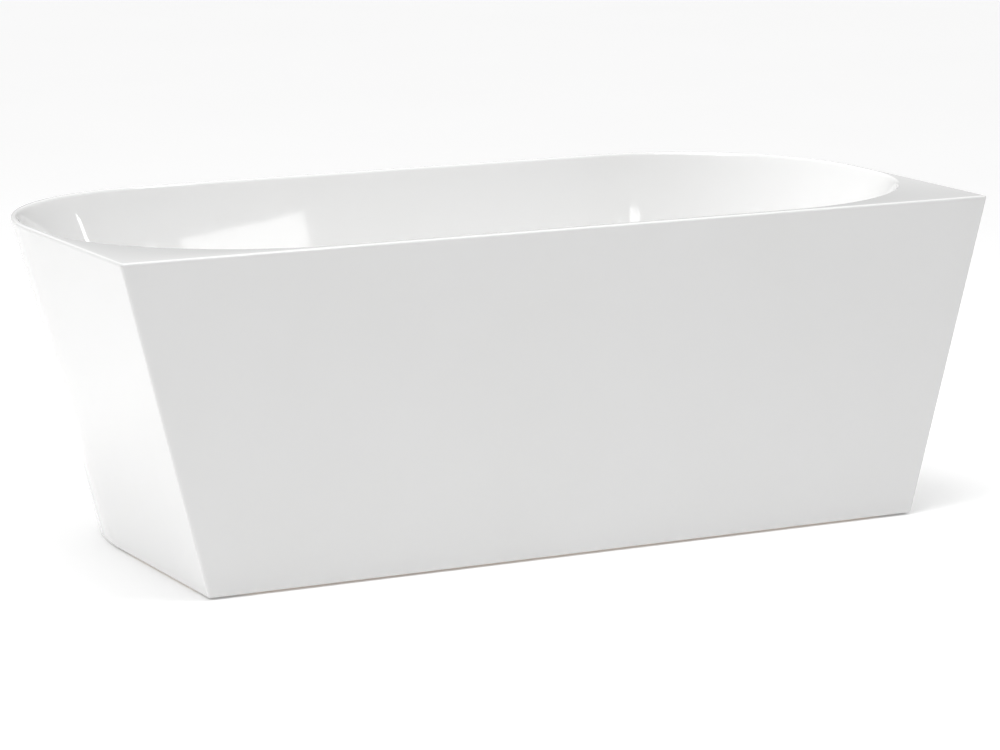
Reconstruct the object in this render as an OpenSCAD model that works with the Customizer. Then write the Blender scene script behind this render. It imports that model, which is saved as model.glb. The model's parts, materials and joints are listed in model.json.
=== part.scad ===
// Back-to-wall freestanding bathtub: acrylic basin and skirt, steel foot frame,
// click-clack waste, overflow and low trap. Millimetres, +Z up.
// Origin: on the floor, under the middle of the rim's footprint. -Y is the wall side.

/* [Overall] */
// Length over the rim
bath_l = 1700; // [1400:10:2000]
// Width over the rim, wall side to room side
bath_w = 800; // [700:5:960]
// Height of the rim above the floor
bath_h = 580; // [540:5:700]

/* [Skirt] */
// Length of the skirt at its foot
base_l = 1400; // [1300:10:1600]
// How far the room side leans in at the foot
room_lean = 95; // [40:5:110]
// Wall thickness of the skirt
skirt_t = 5; // [3:0.5:7]
// Radius of the two room-side corners at the rim
room_corner_r = 365; // [200:5:390]
// Room-side corner at the foot, along the length
foot_corner_rx = 205; // [120:5:260]
// Room-side corner at the foot, along the width
foot_corner_ry = 310; // [200:5:320]
// Radius of the two upright wall-side edges
wall_edge_r = 6; // [4:1:14]
// Gap between the floor and the skirt's lower edge
floor_gap = 4; // [2:1:10]
// Rounding of the skirt's lower edge
foot_edge_r = 3; // [1:0.5:4]

/* [Basin] */
// Rim width on the room side and the ends
rim_w = 15; // [15:1:30]
// Rim width on the wall side
wall_rim_w = 22; // [20:1:40]
// Rounding of the rim's outer edge
rim_outer_r = 6; // [3:0.5:7]
// Rounding of the rim's inner edge
rim_inner_r = 7; // [3:0.5:8]
// Wall-side corner of the opening, along the length
opening_corner_rx = 400; // [300:10:480]
// Wall-side corner of the opening, along the width
opening_corner_ry = 350; // [250:5:365]
// Height of the basin floor beside the drain
drain_floor_z = 169; // [165:1:185]
// Fall of the floor towards the drain
floor_fall = 5; // [2:0.5:10]
// Lean of the end walls from upright, in degrees
end_lean = 30; // [22:1:31]
// Lean of the long walls from upright, in degrees
side_lean = 15; // [14:0.5:17]
// Height over which the walls sweep into the floor
sweep_h = 110; // [60:5:140]
// Length of the sweep along the floor at the ends
end_sweep = 110; // [60:5:160]
// Length of the sweep along the floor at the long sides
side_sweep = 70; // [40:5:80]
// Corner radius of the flat floor
floor_corner_r = 165; // [80:5:170]
// Thickness of the acrylic
basin_t = 5; // [4:0.5:6]
// Thickness of the glass-fibre backing on the walls
backing_t = 3; // [2:0.5:4]
// Least thickness of the backing under the floor
floor_backing_t = 4; // [3:0.5:8]
// Depth of the rim's outer lip, down to the skirt's top edge
lip_h = 12; // [9:1:20]
// Thickness of the tongue that the skirt is bonded to
tongue_t = 3; // [2:0.5:3.5]
// How far the tongue reaches down inside the skirt
tongue_h = 23; // [10:1:35]
// Bond gap between the basin's lip and the skirt
bond_gap = 0.3; // [0.1:0.1:0.6]

/* [Frame] */
// Length of the base board
board_l = 940; // [820:10:1000]
// Width of the base board
board_w = 370; // [340:5:380]
// Thickness of the base board
board_t = 16; // [12:1:18]
// Outside width of the square steel tube
tube_w = 25; // [20:1:26]
// Wall of the square steel tube
tube_t = 1.5; // [1:0.25:2.5]
// Length of each long rail
rail_l = 1040; // [940:10:1100]
// Distance between the middles of the rails
rail_pitch = 300; // [280:5:320]
// Length of each cross bar
bar_l = 560; // [520:5:570]
// Distance between the middles of the two outer cross bars
bar_pitch = 800; // [640:10:900]
// Place of the middle cross bar along the length
middle_bar_x = -120; // [-200:5:-90]
// Middle of the frame across the width
frame_y = -20; // [-25:5:-15]
// Thickness of the skirt brackets
bracket_t = 2; // [1.5:0.5:3]
// Width of the skirt brackets
bracket_w = 30; // [20:2:40]
// Thickness of the skirt's timber battens
batten_t = 20; // [16:1:24]
// Height of the skirt's timber battens
batten_h = 30; // [24:1:40]

/* [Feet] */
// Diameter of the threaded studs
stud_d = 12; // [10:1:12]
// Length of the threaded studs
stud_l = 113; // [108:1:118]
// Diameter of the foot pads
pad_d = 50; // [40:2:60]
// Height of the foot pads
pad_h = 14; // [12:1:18]
// Distance from a foot to the end of its cross bar
foot_end = 55; // [48:1:65]

/* [Waste] */
// Place of the drain across the width
drain_y = -80; // [-85:1:-70]
// Diameter of the drain hole
drain_d = 52; // [43:1:54]
// Diameter of the drain flange
flange_d = 72; // [68:1:88]
// How far the plug rises to open
plug_travel = 10; // [6:1:12]
// Outside diameter of the overflow hose
hose_d = 26; // [21:1:27]
// Height of the overflow's middle below the rim
overflow_drop = 100; // [95:1:110]
// Diameter of the overflow cover
cover_d = 66; // [55:1:80]
// Outside diameter of the trap's pipe
outlet_d = 40; // [33:1:42]
// Bend radius of the trap's pipe on its middle line
trap_bend_r = 30; // [28:0.5:32]

/* [Hidden] */
$fn = 64;
eps = 0.05;
arc_n = 12;           // points on each corner of an outline
long_n = 11;          // steps along a long straight, odd so that the overflow is cut in one flat
short_n = 3;          // steps along an end straight of an outline
sweep_n = 6;          // rings down the sweep from wall to floor
edge_n = 4;           // rings round a rounded edge
run_fit = 0.05;       // radial clearance of a shaft that turns or slides
screw_d = 4;
frame_screw_d = 5;
screw_head_h = 2.5;

// Skirt and basin outlines
wall_y = -bath_w / 2;
room_y = bath_w / 2;
lip_z = bath_h - lip_h;
open_a = bath_l / 2 - rim_w;
open_y0 = wall_y + wall_rim_w;
open_y1 = room_y - rim_w;
open_z = bath_h - rim_inner_r;
floor_z = drain_floor_z + floor_fall;
recess_z = drain_floor_z - 4;
recess_r = flange_d / 2 + 6;
backing_z = recess_z - basin_t - floor_backing_t;
backing_top_z = bath_h - 60;

// Frame heights, from the basin down to the foot pads
board_z = backing_z - board_t;
rail_z = board_z - tube_w;
bar_z = rail_z - tube_w;
weld_nut_h = 10;
lock_nut_h = 7;
weld_nut_z = bar_z - weld_nut_h;
lock_nut_z = weld_nut_z - lock_nut_h;
board_hole_d = 104;
bar_xs = [-bar_pitch / 2, middle_bar_x, bar_pitch / 2];
foot_y_span = bar_l / 2 - foot_end;
foot_at = [
    [-bar_pitch / 2, frame_y - foot_y_span],
    [bar_pitch / 2, frame_y - foot_y_span],
    [-bar_pitch / 2, frame_y + foot_y_span],
    [bar_pitch / 2, frame_y + foot_y_span],
    [middle_bar_x, 20]
];
stud_z = 5;           // height of the stud's lower end inside its pad
stud_hex_d = stud_d + 3.5;
stud_hex_h = 8;
nut_d = 1.75 * stud_d;
cap_plate_t = 2;
cap_insert_l = 10;
cap_slack = 0.1;

// Battens and brackets
batten_z = floor_gap + 6;
batten_in_wall = wall_y + skirt_t + bond_gap + batten_t;
batten_in_room = skirt_room_y(batten_z) - skirt_t - bond_gap - batten_t;
batten_in_end = skirt_a(batten_z) - skirt_t - bond_gap - batten_t;
wall_batten_l = base_l - 140;
room_batten_l = base_l - 2 * foot_corner_rx - 100;
end_batten_y = [wall_y + 60, wall_y + 360];
bracket_lap = 38;
bracket_screw_in = 24;
batten_screw_z = batten_z + batten_h / 2;
batten_screw_l = bracket_t + 14;
bar_screw_l = bracket_t + 8;

// Drain stack, from the flange down
gasket_t = 1.5;
flange_z = recess_z + gasket_t;
flange_t = 2;
flange_r = flange_d / 2;
flange_rim = 3;
seat_z = flange_z + flange_t;
tail_r = drain_d / 2 - 2;
tail_t = 3;
tail_z = flange_z - 38;
hub_r = 12;
hub_h = 8;
spoke_w = 4;
seal_t = 1.2;
cap_r = flange_r - flange_rim - 1.5;
cap_t = 4.5;
cap_z = seat_z + eps + seal_t;
cap_boss_h = 6;
stem_r = 4;
stem_foot_r = 6;
stem_foot_h = 3;
cart_r = 8;
cart_head_r = 11;
cart_head_h = 3;
cart_wall = 1.5;
cart_z = tail_z - 12;
spring_h = 10;
spring_turns = 4;
wire_r = 0.6;
stem_foot_z = cart_z + 2 + spring_h;
guide_z = stem_foot_z + stem_foot_h + plug_travel + 0.3;
cart_top = guide_z + 12;

// Waste body, union and trap
body_r = drain_d / 2 + 5;
body_t = 3;
body_gasket_t = 3;
body_top = backing_z - body_gasket_t;
collar_h = 8;
port_z = rail_z - 2 - hose_d / 2;
body_z = port_z - hose_d / 2 - body_t;
pipe_r = outlet_d / 2;
pipe_t = 2;
spigot_r = pipe_r + 3;
spigot_h = 14;
union_r = spigot_r + 4;
trap_top = body_z - spigot_h;
trap_flange_h = 3;
trap_z = trap_bend_r + pipe_r + 8;
trap_run = trap_bend_r + 10;
trap_crown_z = trap_z + 4;
outlet_x = 4 * trap_bend_r + trap_run;
outlet_end_z = 12;

// Overflow, on the wall-side slope of the basin
shell_t = basin_t + backing_t;
overflow_z = bath_h - overflow_drop;
overflow_y = basin_y0(overflow_z, 0);
overflow_hole_d = 40;
overflow_gasket_t = 2;
elbow_flange_r = 26;
elbow_flange_h = 3;
elbow_r = overflow_hole_d / 2 - 0.5;
elbow_t = 2.5;
elbow_depth = 33;
cover_h = 11;
cover_t = 2;
hose_t = 2;
hose_bore_r = hose_d / 2 - hose_t;
elbow_mid = 24;
elbow_spigot_y = overflow_y - elbow_mid * cos(side_lean);
elbow_spigot_z = overflow_z - elbow_mid * sin(side_lean);
elbow_spigot_l = 42;
hose_top = overflow_z - elbow_r * cos(side_lean) - elbow_depth * sin(side_lean) - 1;
hose_bend_r = 55;
hose_end_y = drain_y - body_r - 2;
hose_nut_t = 2.5;
hose_nut_h = 14;

// ---- Outlines and lofts --------------------------------------------------------------------

function mix(a, b, t) = a + (b - a) * t;
function reversed(list) = [for (i = [len(list) - 1:-1:0]) list[i]];

// Points on a quarter ellipse of radii r = [x, y], from the angle "from" round by 90 degrees
function corner(cx, cy, r, from) =
    [for (i = [0:arc_n - 1]) let (w = from + 90 * i / (arc_n - 1)) [cx + r[0] * cos(w), cy + r[1] * sin(w)]];

// The inner points of a straight from p to q that is cut into n steps
function between(p, q, n) = [for (i = [1:n - 1]) mix(p, q, i / n)];

// A rounded rectangle of half-length a, from y0 to y1. Its corners have the radii w = [x, y]
// on the wall side and r = [x, y] on the room side. It starts at the left wall-side corner
// and runs anticlockwise.
function outline(a, y0, y1, w, r) = concat(
    corner(-a + w[0], y0 + w[1], w, 180), between([-a + w[0], y0], [a - w[0], y0], long_n),
    corner(a - w[0], y0 + w[1], w, 270), between([a, y0 + w[1]], [a, y1 - r[1]], short_n),
    corner(a - r[0], y1 - r[1], r, 0), between([a - r[0], y1], [-a + r[0], y1], long_n),
    corner(-a + r[0], y1 - r[1], r, 90), between([-a, y1 - r[1]], [-a, y0 + w[1]], short_n));

function round_by(r) = [max(r, 1), max(r, 1)];
function at_z(pts, z) = [for (p = pts) [p[0], p[1], z]];

// A ring round the drain with one point towards each point of the floor's outline
function drain_ring(pts, r) =
    [for (p = pts) let (d = [p[0], p[1] - drain_y]) [0, drain_y] + r * d / norm(d)];

// Skins a list of rings, with a cap at the first and at the last. A closed one joins its
// last ring to its first instead, as a tube wall does. An inward one is turned inside out.
module loft(rings, closed = false, inward = false) {
    n = len(rings[0]);
    k = len(rings);
    sides = [for (j = [0:(closed ? k - 1 : k - 2)], i = [0:n - 1])
        let (a = j * n + i, b = ((j + 1) % k) * n + i, c = ((j + 1) % k) * n + (i + 1) % n,
            d = j * n + (i + 1) % n)
        each [[a, b, c], [a, c, d]]];
    caps = closed ? [] : [[for (i = [0:n - 1]) i], [for (i = [n - 1:-1:0]) (k - 1) * n + i]];
    faces = concat(sides, caps);
    polyhedron(points = [for (r = rings) each r],
        faces = inward ? [for (f = faces) reversed(f)] : faces, convexity = 8);
}

// ---- Outer skirt ---------------------------------------------------------------------------

function skirt_t01(z) = (z - floor_gap) / (bath_h - floor_gap);
function skirt_a(z) = mix(base_l, bath_l, skirt_t01(z)) / 2;
function skirt_room_y(z) = room_y - room_lean * (1 - skirt_t01(z));

// The skirt's outline at height z, taken in by the distance inset
function skirt_ring(z, inset) =
    let (r = mix([foot_corner_rx, foot_corner_ry], [room_corner_r, room_corner_r], skirt_t01(z)))
    at_z(outline(skirt_a(z) - inset, wall_y + inset, skirt_room_y(z) - inset,
        round_by(wall_edge_r - inset), r - [inset, inset]), z);

module outer_skirt() {
    foot_edge = [for (i = [0:edge_n - 1]) let (w = 90 * i / (edge_n - 1))
        skirt_ring(floor_gap + foot_edge_r * (1 - cos(w)), foot_edge_r * (1 - sin(w)))];
    color("white") loft(concat(foot_edge, [skirt_ring(lip_z - bond_gap, 0),
        skirt_ring(lip_z - bond_gap, skirt_t), skirt_ring(floor_gap, skirt_t)]), closed = true);
}

// ---- Inner basin ---------------------------------------------------------------------------

// The basin's wall at height z, moved out square to itself by the distance off
function basin_a(z, off) = open_a - (open_z - z) * tan(end_lean) + off / cos(end_lean);
function basin_y0(z, off) = open_y0 + (open_z - z) * tan(side_lean) - off / cos(side_lean);
function basin_y1(z, off) = open_y1 - (open_z - z) * tan(side_lean) + off / cos(side_lean);

// Corner radii shrink with depth, from the opening's to the floor's
opening_w = [opening_corner_rx, opening_corner_ry];
opening_r = round_by(room_corner_r - rim_w);
function basin_r(r, z, off) =
    mix(round_by(floor_corner_r), r, max(0, (z - floor_z) / (open_z - floor_z))) + [off, off];

function wall_ring(z, off) =
    at_z(outline(basin_a(z, off), basin_y0(z, off), basin_y1(z, off),
        basin_r(opening_w, z, off), basin_r(opening_r, z, off)), z);

// The sweep from wall to floor is a quadratic Bezier: t is 0 on the wall and 1 on the floor.
// bottom is the height of the floor surface that this skin ends in.
function bend(p0, p1, p2, t) = (1 - t) * (1 - t) * p0 + 2 * t * (1 - t) * p1 + t * t * p2;
function sweep_ring(t, off, bottom) =
    let (top = floor_z + sweep_h, z = bend(top, bottom, bottom, t))
    at_z(outline(
        bend(basin_a(top, off), basin_a(bottom, off), basin_a(bottom, off) - end_sweep, t),
        bend(basin_y0(top, off), basin_y0(bottom, off), basin_y0(bottom, off) + side_sweep, t),
        bend(basin_y1(top, off), basin_y1(bottom, off), basin_y1(bottom, off) - side_sweep, t),
        mix(basin_r(opening_w, top, off), round_by(floor_corner_r), t),
        mix(basin_r(opening_r, top, off), round_by(floor_corner_r), t)), z);

function sweep_rings(off, bottom) = [for (i = [0:sweep_n]) sweep_ring(i / sweep_n, off, bottom)];

// The floor, from its edge in to the drain's recess, dropped by the distance d
function floor_rings(edge, d) = [
    at_z(drain_ring(edge, recess_r + 18), drain_floor_z - d),
    at_z(drain_ring(edge, recess_r + 4), drain_floor_z - d),
    at_z(drain_ring(edge, recess_r), recess_z - d)];

// The rim's outline, taken in by inset, at height z
function rim_ring(z, inset) =
    at_z(outline(bath_l / 2 - inset, wall_y + inset, room_y - inset,
        round_by(wall_edge_r - inset), round_by(room_corner_r - inset)), z);

function basin_under() = concat(
    reversed(floor_rings(sweep_ring(1, basin_t, floor_z - basin_t), basin_t)),
    reversed(sweep_rings(basin_t, floor_z - basin_t)),
    [wall_ring(backing_top_z, basin_t), wall_ring(open_z, basin_t)]);

function basin_rim() = concat([
    skirt_ring(bath_h - basin_t, skirt_t + bond_gap + tongue_t),
    skirt_ring(lip_z - tongue_h, skirt_t + bond_gap + tongue_t),
    skirt_ring(lip_z - tongue_h, skirt_t + bond_gap),
    skirt_ring(lip_z, skirt_t + bond_gap),
    skirt_ring(lip_z, 0)],
    [for (i = [0:edge_n - 1]) let (w = 90 * i / (edge_n - 1))
        rim_ring(bath_h - rim_outer_r * (1 - sin(w)), rim_outer_r * (1 - cos(w)))]);

function basin_inside() = concat(
    [for (i = [0:edge_n - 1]) let (w = 90 * i / (edge_n - 1), r = rim_inner_r * (1 - sin(w)))
        at_z(outline(open_a + r, open_y0 - r, open_y1 + r, opening_w + [r, r], opening_r + [r, r]),
            bath_h - rim_inner_r * (1 - cos(w)))],
    sweep_rings(0, floor_z),
    floor_rings(sweep_ring(1, 0, floor_z), 0));

module inner_basin() {
    color("white") difference() {
        loft(concat(basin_under(), basin_rim(), basin_inside()));
        translate([0, drain_y, 0]) cylinder(d = drain_d, h = bath_h);
        at_overflow() translate([0, 0, -2 * shell_t]) cylinder(d = overflow_hole_d, h = 6 * shell_t);
    }
}

// Glass-fibre and resin on the basin's underside. Its own underside is flat over the board.
module basin_backing() {
    color("tan") difference() {
        loft(concat(
            reversed(floor_rings(sweep_ring(1, basin_t, floor_z - basin_t), basin_t)),
            reversed(sweep_rings(basin_t, floor_z - basin_t)),
            [wall_ring(backing_top_z, basin_t), wall_ring(backing_top_z, shell_t)],
            sweep_rings(shell_t, backing_z)), inward = true);
        translate([0, drain_y, 0]) cylinder(d = drain_d, h = bath_h);
        at_overflow() translate([0, 0, -2 * shell_t]) cylinder(d = overflow_hole_d, h = 6 * shell_t);
    }
}

// Local frame of the overflow: origin on the basin's inner face, +Z out of the wall into the bath
module at_overflow() {
    translate([0, overflow_y, overflow_z]) rotate([side_lean - 90, 0, 0]) children();
}

// ---- Frame ---------------------------------------------------------------------------------

// A block between two opposite corners, given in any order
module block(p, q) {
    low = [for (i = [0:2]) min(p[i], q[i])];
    high = [for (i = [0:2]) max(p[i], q[i])];
    translate(low) cube(high - low);
}

module base_board() {
    color("burlywood") difference() {
        block([-board_l / 2, frame_y - board_w / 2, board_z],
            [board_l / 2, frame_y + board_w / 2, backing_z]);
        translate([0, drain_y, 0]) cylinder(d = board_hole_d, h = bath_h);
        at_crossings() cylinder(d = frame_screw_d + 2 * run_fit, h = frame_screw_l());
    }
}

// From the underside of a cross bar to 10 mm inside the board
function frame_screw_l() = board_z + 10 - bar_z;

// Where the rails cross the cross bars, at the bars' underside
module at_crossings(xs = bar_xs, sides = [-1, 1]) {
    for (x = xs, s = sides) translate([x, frame_y + s * rail_pitch / 2, bar_z]) children();
}

// A square tube of length l along +Z, centred on it
module square_tube(l) {
    bore = tube_w - 2 * tube_t;
    difference() {
        translate([-tube_w / 2, -tube_w / 2, 0]) cube([tube_w, tube_w, l]);
        translate([-bore / 2, -bore / 2, -1]) cube([bore, bore, l + 2]);
    }
}

module frame_rail(side) {
    color("dimgray") difference() {
        translate([-rail_l / 2, frame_y + side * rail_pitch / 2, rail_z + tube_w / 2])
            rotate([0, 90, 0]) square_tube(rail_l);
        at_crossings(sides = [side]) cylinder(d = frame_screw_d + 2 * run_fit, h = frame_screw_l());
    }
}
module frame_rail_wall() { frame_rail(-1); }
module frame_rail_room() { frame_rail(1); }

module cross_bar(x, foot_ys) {
    color("dimgray") difference() {
        translate([x, frame_y + bar_l / 2, bar_z + tube_w / 2]) rotate([90, 0, 0]) square_tube(bar_l);
        at_crossings(xs = [x]) translate([0, 0, -1])
            cylinder(d = frame_screw_d + 2 * run_fit, h = tube_w + 2);
        for (y = foot_ys) translate([x, y, bar_z - 1]) cylinder(d = stud_d + 2, h = tube_w + 2);
        for (s = [-1, 1]) translate([x, frame_y + s * (bar_l / 2 - bracket_screw_in), bar_z - 1])
            cylinder(d = screw_d + 2 * run_fit, h = tube_t + 2);
    }
}
module cross_bar_left() { cross_bar(bar_xs[0], [foot_at[0][1], foot_at[2][1]]); }
module cross_bar_middle() { cross_bar(bar_xs[1], [foot_at[4][1]]); }
module cross_bar_right() { cross_bar(bar_xs[2], [foot_at[1][1], foot_at[3][1]]); }

// A plug for a tube's open end, with its plate above z = 0
module end_cap() {
    insert_w = tube_w - 2 * tube_t - 2 * cap_slack;
    translate([-tube_w / 2, -tube_w / 2, 0]) cube([tube_w, tube_w, cap_plate_t]);
    translate([-insert_w / 2, -insert_w / 2, -cap_insert_l])
        cube([insert_w, insert_w, cap_insert_l + eps]);
}

module tube_end_caps() {
    color("black") {
        for (side = [-1, 1], s = [-1, 1])
            translate([s * rail_l / 2, frame_y + side * rail_pitch / 2, rail_z + tube_w / 2])
                rotate([0, s * 90, 0]) end_cap();
        for (x = bar_xs, s = [-1, 1])
            translate([x, frame_y + s * bar_l / 2, bar_z + tube_w / 2])
                rotate([-s * 90, 0, 0]) end_cap();
    }
}

// A screw whose head is below z = 0 and whose shank goes up from there
module screw(d, l) {
    translate([0, 0, -screw_head_h]) cylinder(d1 = 1.4 * d, d2 = 2 * d, h = screw_head_h);
    cylinder(d = d, h = l);
}

module frame_screws() {
    color("silver") at_crossings() screw(frame_screw_d, frame_screw_l());
}

// ---- Skirt supports ------------------------------------------------------------------------

function batten_face(side) = side < 0 ? batten_in_wall : batten_in_room;
function bracket_y(side) = frame_y + side * (bar_l / 2 - bracket_screw_in);

// Where a bracket is screwed to its batten, +Z going into the batten
module at_batten_screws() {
    for (x = bar_xs, s = [-1, 1])
        translate([x, batten_face(s) - s * bracket_t, batten_screw_z])
            rotate([-s * 90, 0, 0]) children();
}

module skirt_battens() {
    color("burlywood") difference() {
        union() {
            block([-wall_batten_l / 2, batten_in_wall - batten_t, batten_z],
                [wall_batten_l / 2, batten_in_wall, batten_z + batten_h]);
            block([-room_batten_l / 2, batten_in_room, batten_z],
                [room_batten_l / 2, batten_in_room + batten_t, batten_z + batten_h]);
            for (s = [-1, 1]) block([s * batten_in_end, end_batten_y[0], batten_z],
                [s * (batten_in_end + batten_t), end_batten_y[1], batten_z + batten_h]);
        }
        at_batten_screws() cylinder(d = screw_d + 2 * run_fit, h = batten_screw_l);
    }
}

module skirt_brackets() {
    color("silver") difference() {
        for (x = bar_xs, s = [-1, 1]) {
            block([x - bracket_w / 2, frame_y + s * (bar_l / 2 - bracket_lap), bar_z - bracket_t],
                [x + bracket_w / 2, batten_face(s), bar_z]);
            block([x - bracket_w / 2, batten_face(s) - s * bracket_t, batten_z],
                [x + bracket_w / 2, batten_face(s), bar_z]);
        }
        at_batten_screws() translate([0, 0, -1]) cylinder(d = screw_d + 2 * run_fit, h = batten_screw_l);
        for (x = bar_xs, s = [-1, 1]) translate([x, bracket_y(s), bar_z - bracket_t - 1])
            cylinder(d = screw_d + 2 * run_fit, h = bracket_t + 2);
    }
}

module bracket_screws() {
    color("silver") {
        at_batten_screws() screw(screw_d, batten_screw_l);
        for (x = bar_xs, s = [-1, 1]) translate([x, bracket_y(s), bar_z - bracket_t])
            screw(screw_d, bar_screw_l);
    }
}

// ---- Feet ----------------------------------------------------------------------------------

module foot_nuts(z, h) {
    color("silver") for (p = foot_at) translate([p[0], p[1], z]) difference() {
        cylinder(d = nut_d, h = h, $fn = 6);
        translate([0, 0, -1]) cylinder(d = stud_d + 2 * run_fit, h = h + 2);
    }
}
module foot_weld_nuts() { foot_nuts(weld_nut_z, weld_nut_h); }
module foot_lock_nuts() { foot_nuts(lock_nut_z, lock_nut_h); }

module foot_pad(i) {
    color("dimgray") translate([foot_at[i][0], foot_at[i][1], 0]) difference() {
        rotate_extrude() polygon([[0, 0], [pad_d / 2 - 2, 0], [pad_d / 2, 2], [pad_d / 2, 6],
            [stud_hex_d / 2 + 5, pad_h], [0, pad_h]]);
        translate([0, 0, stud_z]) cylinder(d = stud_hex_d + 0.2, h = stud_hex_h, $fn = 6);
        translate([0, 0, stud_z]) cylinder(d = stud_d + 2 * run_fit, h = pad_h);
    }
}
module foot_pad_wall_left() { foot_pad(0); }
module foot_pad_wall_right() { foot_pad(1); }
module foot_pad_room_left() { foot_pad(2); }
module foot_pad_room_right() { foot_pad(3); }
module foot_pad_middle() { foot_pad(4); }

module foot_stud(i) {
    color("silver") translate([foot_at[i][0], foot_at[i][1], stud_z]) {
        cylinder(d = stud_hex_d, h = stud_hex_h, $fn = 6);
        cylinder(d = stud_d, h = stud_l);
    }
}
module foot_stud_wall_left() { foot_stud(0); }
module foot_stud_wall_right() { foot_stud(1); }
module foot_stud_room_left() { foot_stud(2); }
module foot_stud_room_right() { foot_stud(3); }
module foot_stud_middle() { foot_stud(4); }

// ---- Drain and click-clack plug ------------------------------------------------------------

module at_drain(z) { translate([0, drain_y, z]) children(); }

// A ring between two radii, standing on z = 0
module ring(inner, outer, h) {
    difference() {
        cylinder(r = outer, h = h);
        translate([0, 0, -1]) cylinder(r = inner, h = h + 2);
    }
}

module drain_flange() {
    bore = tail_r - tail_t;
    color("silver") at_drain(0) difference() {
        union() {
            rotate_extrude() polygon([[bore, tail_z], [tail_r, tail_z], [tail_r, flange_z],
                [flange_r, flange_z], [flange_r, seat_z + 2.5], [flange_r - 1, seat_z + 3.5],
                [flange_r - flange_rim, seat_z + 3.5], [flange_r - flange_rim, seat_z], [bore, seat_z]]);
            translate([0, 0, tail_z]) cylinder(r = hub_r, h = hub_h);
            for (w = [90:120:330]) rotate([0, 0, w])
                block([0, -spoke_w / 2, tail_z], [bore + 1, spoke_w / 2, tail_z + hub_h]);
        }
        translate([0, 0, tail_z - 1]) cylinder(r = cart_r + run_fit, h = hub_h + 2);
    }
}

module drain_top_gasket() {
    color("black") at_drain(recess_z) ring(drain_d / 2, flange_r - 2, gasket_t);
}

module drain_lower_gasket() {
    color("black") at_drain(body_top) ring(tail_r + 0.5, body_r, body_gasket_t);
}

module plug_cap() {
    color("silver") at_drain(0) difference() {
        rotate_extrude() polygon([[0, cap_z - cap_boss_h], [stem_r + 2, cap_z - cap_boss_h],
            [stem_r + 2, cap_z], [cap_r, cap_z], [cap_r, cap_z + cap_t - 2],
            [cap_r - 1.5, cap_z + cap_t - 0.5], [cap_r - 5, cap_z + cap_t], [0, cap_z + cap_t]]);
        translate([0, 0, cap_z - cap_boss_h - 1]) cylinder(r = stem_r + run_fit, h = cap_boss_h + 2);
    }
}

module plug_seal() {
    color("black") at_drain(seat_z + eps) ring(tail_r - 2, cap_r - 1.5, seal_t);
}

module plug_plunger() {
    color("white") at_drain(stem_foot_z) {
        cylinder(r = stem_foot_r, h = stem_foot_h);
        cylinder(r = stem_r, h = cap_z + 1 - stem_foot_z);
    }
}

module plug_cartridge() {
    color("silver") at_drain(0) difference() {
        union() {
            translate([0, 0, cart_z]) cylinder(r = cart_r, h = cart_top - cart_z);
            translate([0, 0, tail_z + hub_h]) cylinder(r = cart_head_r, h = cart_head_h);
        }
        translate([0, 0, cart_z + 2]) cylinder(r = cart_r - cart_wall, h = guide_z - cart_z - 2);
        translate([0, 0, cart_z + 2]) cylinder(r = stem_r + run_fit, h = cart_top);
    }
}

// The spring at its closed length, as a round wire swept along a helix
module plug_spring() {
    side_n = 6;
    turn_n = 14;
    wind_r = cart_r - cart_wall - wire_r - 0.3;
    rise = spring_h - 2 * wire_r - 0.1;
    steps = spring_turns * turn_n;
    color("silver") at_drain(cart_z + 2 + wire_r + 0.05)
        loft([for (j = [steps:-1:0]) let (w = 360 * j / turn_n) [for (i = [0:side_n - 1])
            let (q = 360 * i / side_n, r = wind_r + wire_r * cos(q))
            [r * cos(w), r * sin(w), rise * j / steps + wire_r * sin(q)]]]);
}

module waste_body() {
    color("ivory") difference() {
        union() {
            at_drain(body_z) cylinder(r = body_r, h = body_top - body_z);
            at_drain(body_z - spigot_h) cylinder(r = spigot_r, h = spigot_h + 1);
            at_port() cylinder(r = hose_bore_r - run_fit, h = 24 + body_r);
        }
        at_drain(body_z + body_t)
            cylinder(r = body_r - body_t, h = body_top - body_z - body_t - collar_h);
        at_drain(body_z + body_t) cylinder(r = tail_r + run_fit, h = bath_h);
        at_drain(body_z - spigot_h - 1) cylinder(r = pipe_r - pipe_t, h = spigot_h + 2 + body_t);
        at_port() cylinder(r = hose_bore_r - 2, h = 25 + body_r);
    }
}

// The hose port's axis, from the middle of the waste body towards the wall side
module at_port() { at_drain(port_z) rotate([90, 0, 0]) children(); }

module waste_union_nut() {
    low = trap_top - trap_flange_h - 5;
    color("ivory") at_drain(low) difference() {
        cylinder(r = union_r, h = 20);
        translate([0, 0, -1]) cylinder(r = pipe_r + run_fit, h = 7);
        translate([0, 0, 5]) cylinder(r = spigot_r + run_fit, h = 16);
    }
}

// ---- Trap ----------------------------------------------------------------------------------

// A bend of the trap's middle line round the point p, as a solid rod of radius r
module trap_turn(p, turn, angle, r) {
    translate([p[0], drain_y, p[1]]) rotate(turn) rotate_extrude(angle = angle)
        translate([trap_bend_r, 0]) circle(r = r);
}

module rod(x, z, r, h) { translate([x, drain_y, z]) cylinder(r = r, h = h); }
module level_rod(x0, x1, r) {
    translate([x0, drain_y, trap_crown_z + trap_bend_r]) rotate([0, 90, 0]) cylinder(r = r, h = x1 - x0);
}

module trap_bend_rod(r, more) {
    rod(0, trap_z, r, trap_top - trap_z + more);
    trap_turn([trap_bend_r, trap_z], [-90, 0, 180], 180, r);
    rod(2 * trap_bend_r, trap_z, r, trap_crown_z - trap_z);
    trap_turn([3 * trap_bend_r, trap_crown_z], [90, 0, 180], 90, r);
    level_rod(3 * trap_bend_r, 3 * trap_bend_r + trap_run / 2 + more, r);
}

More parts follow.
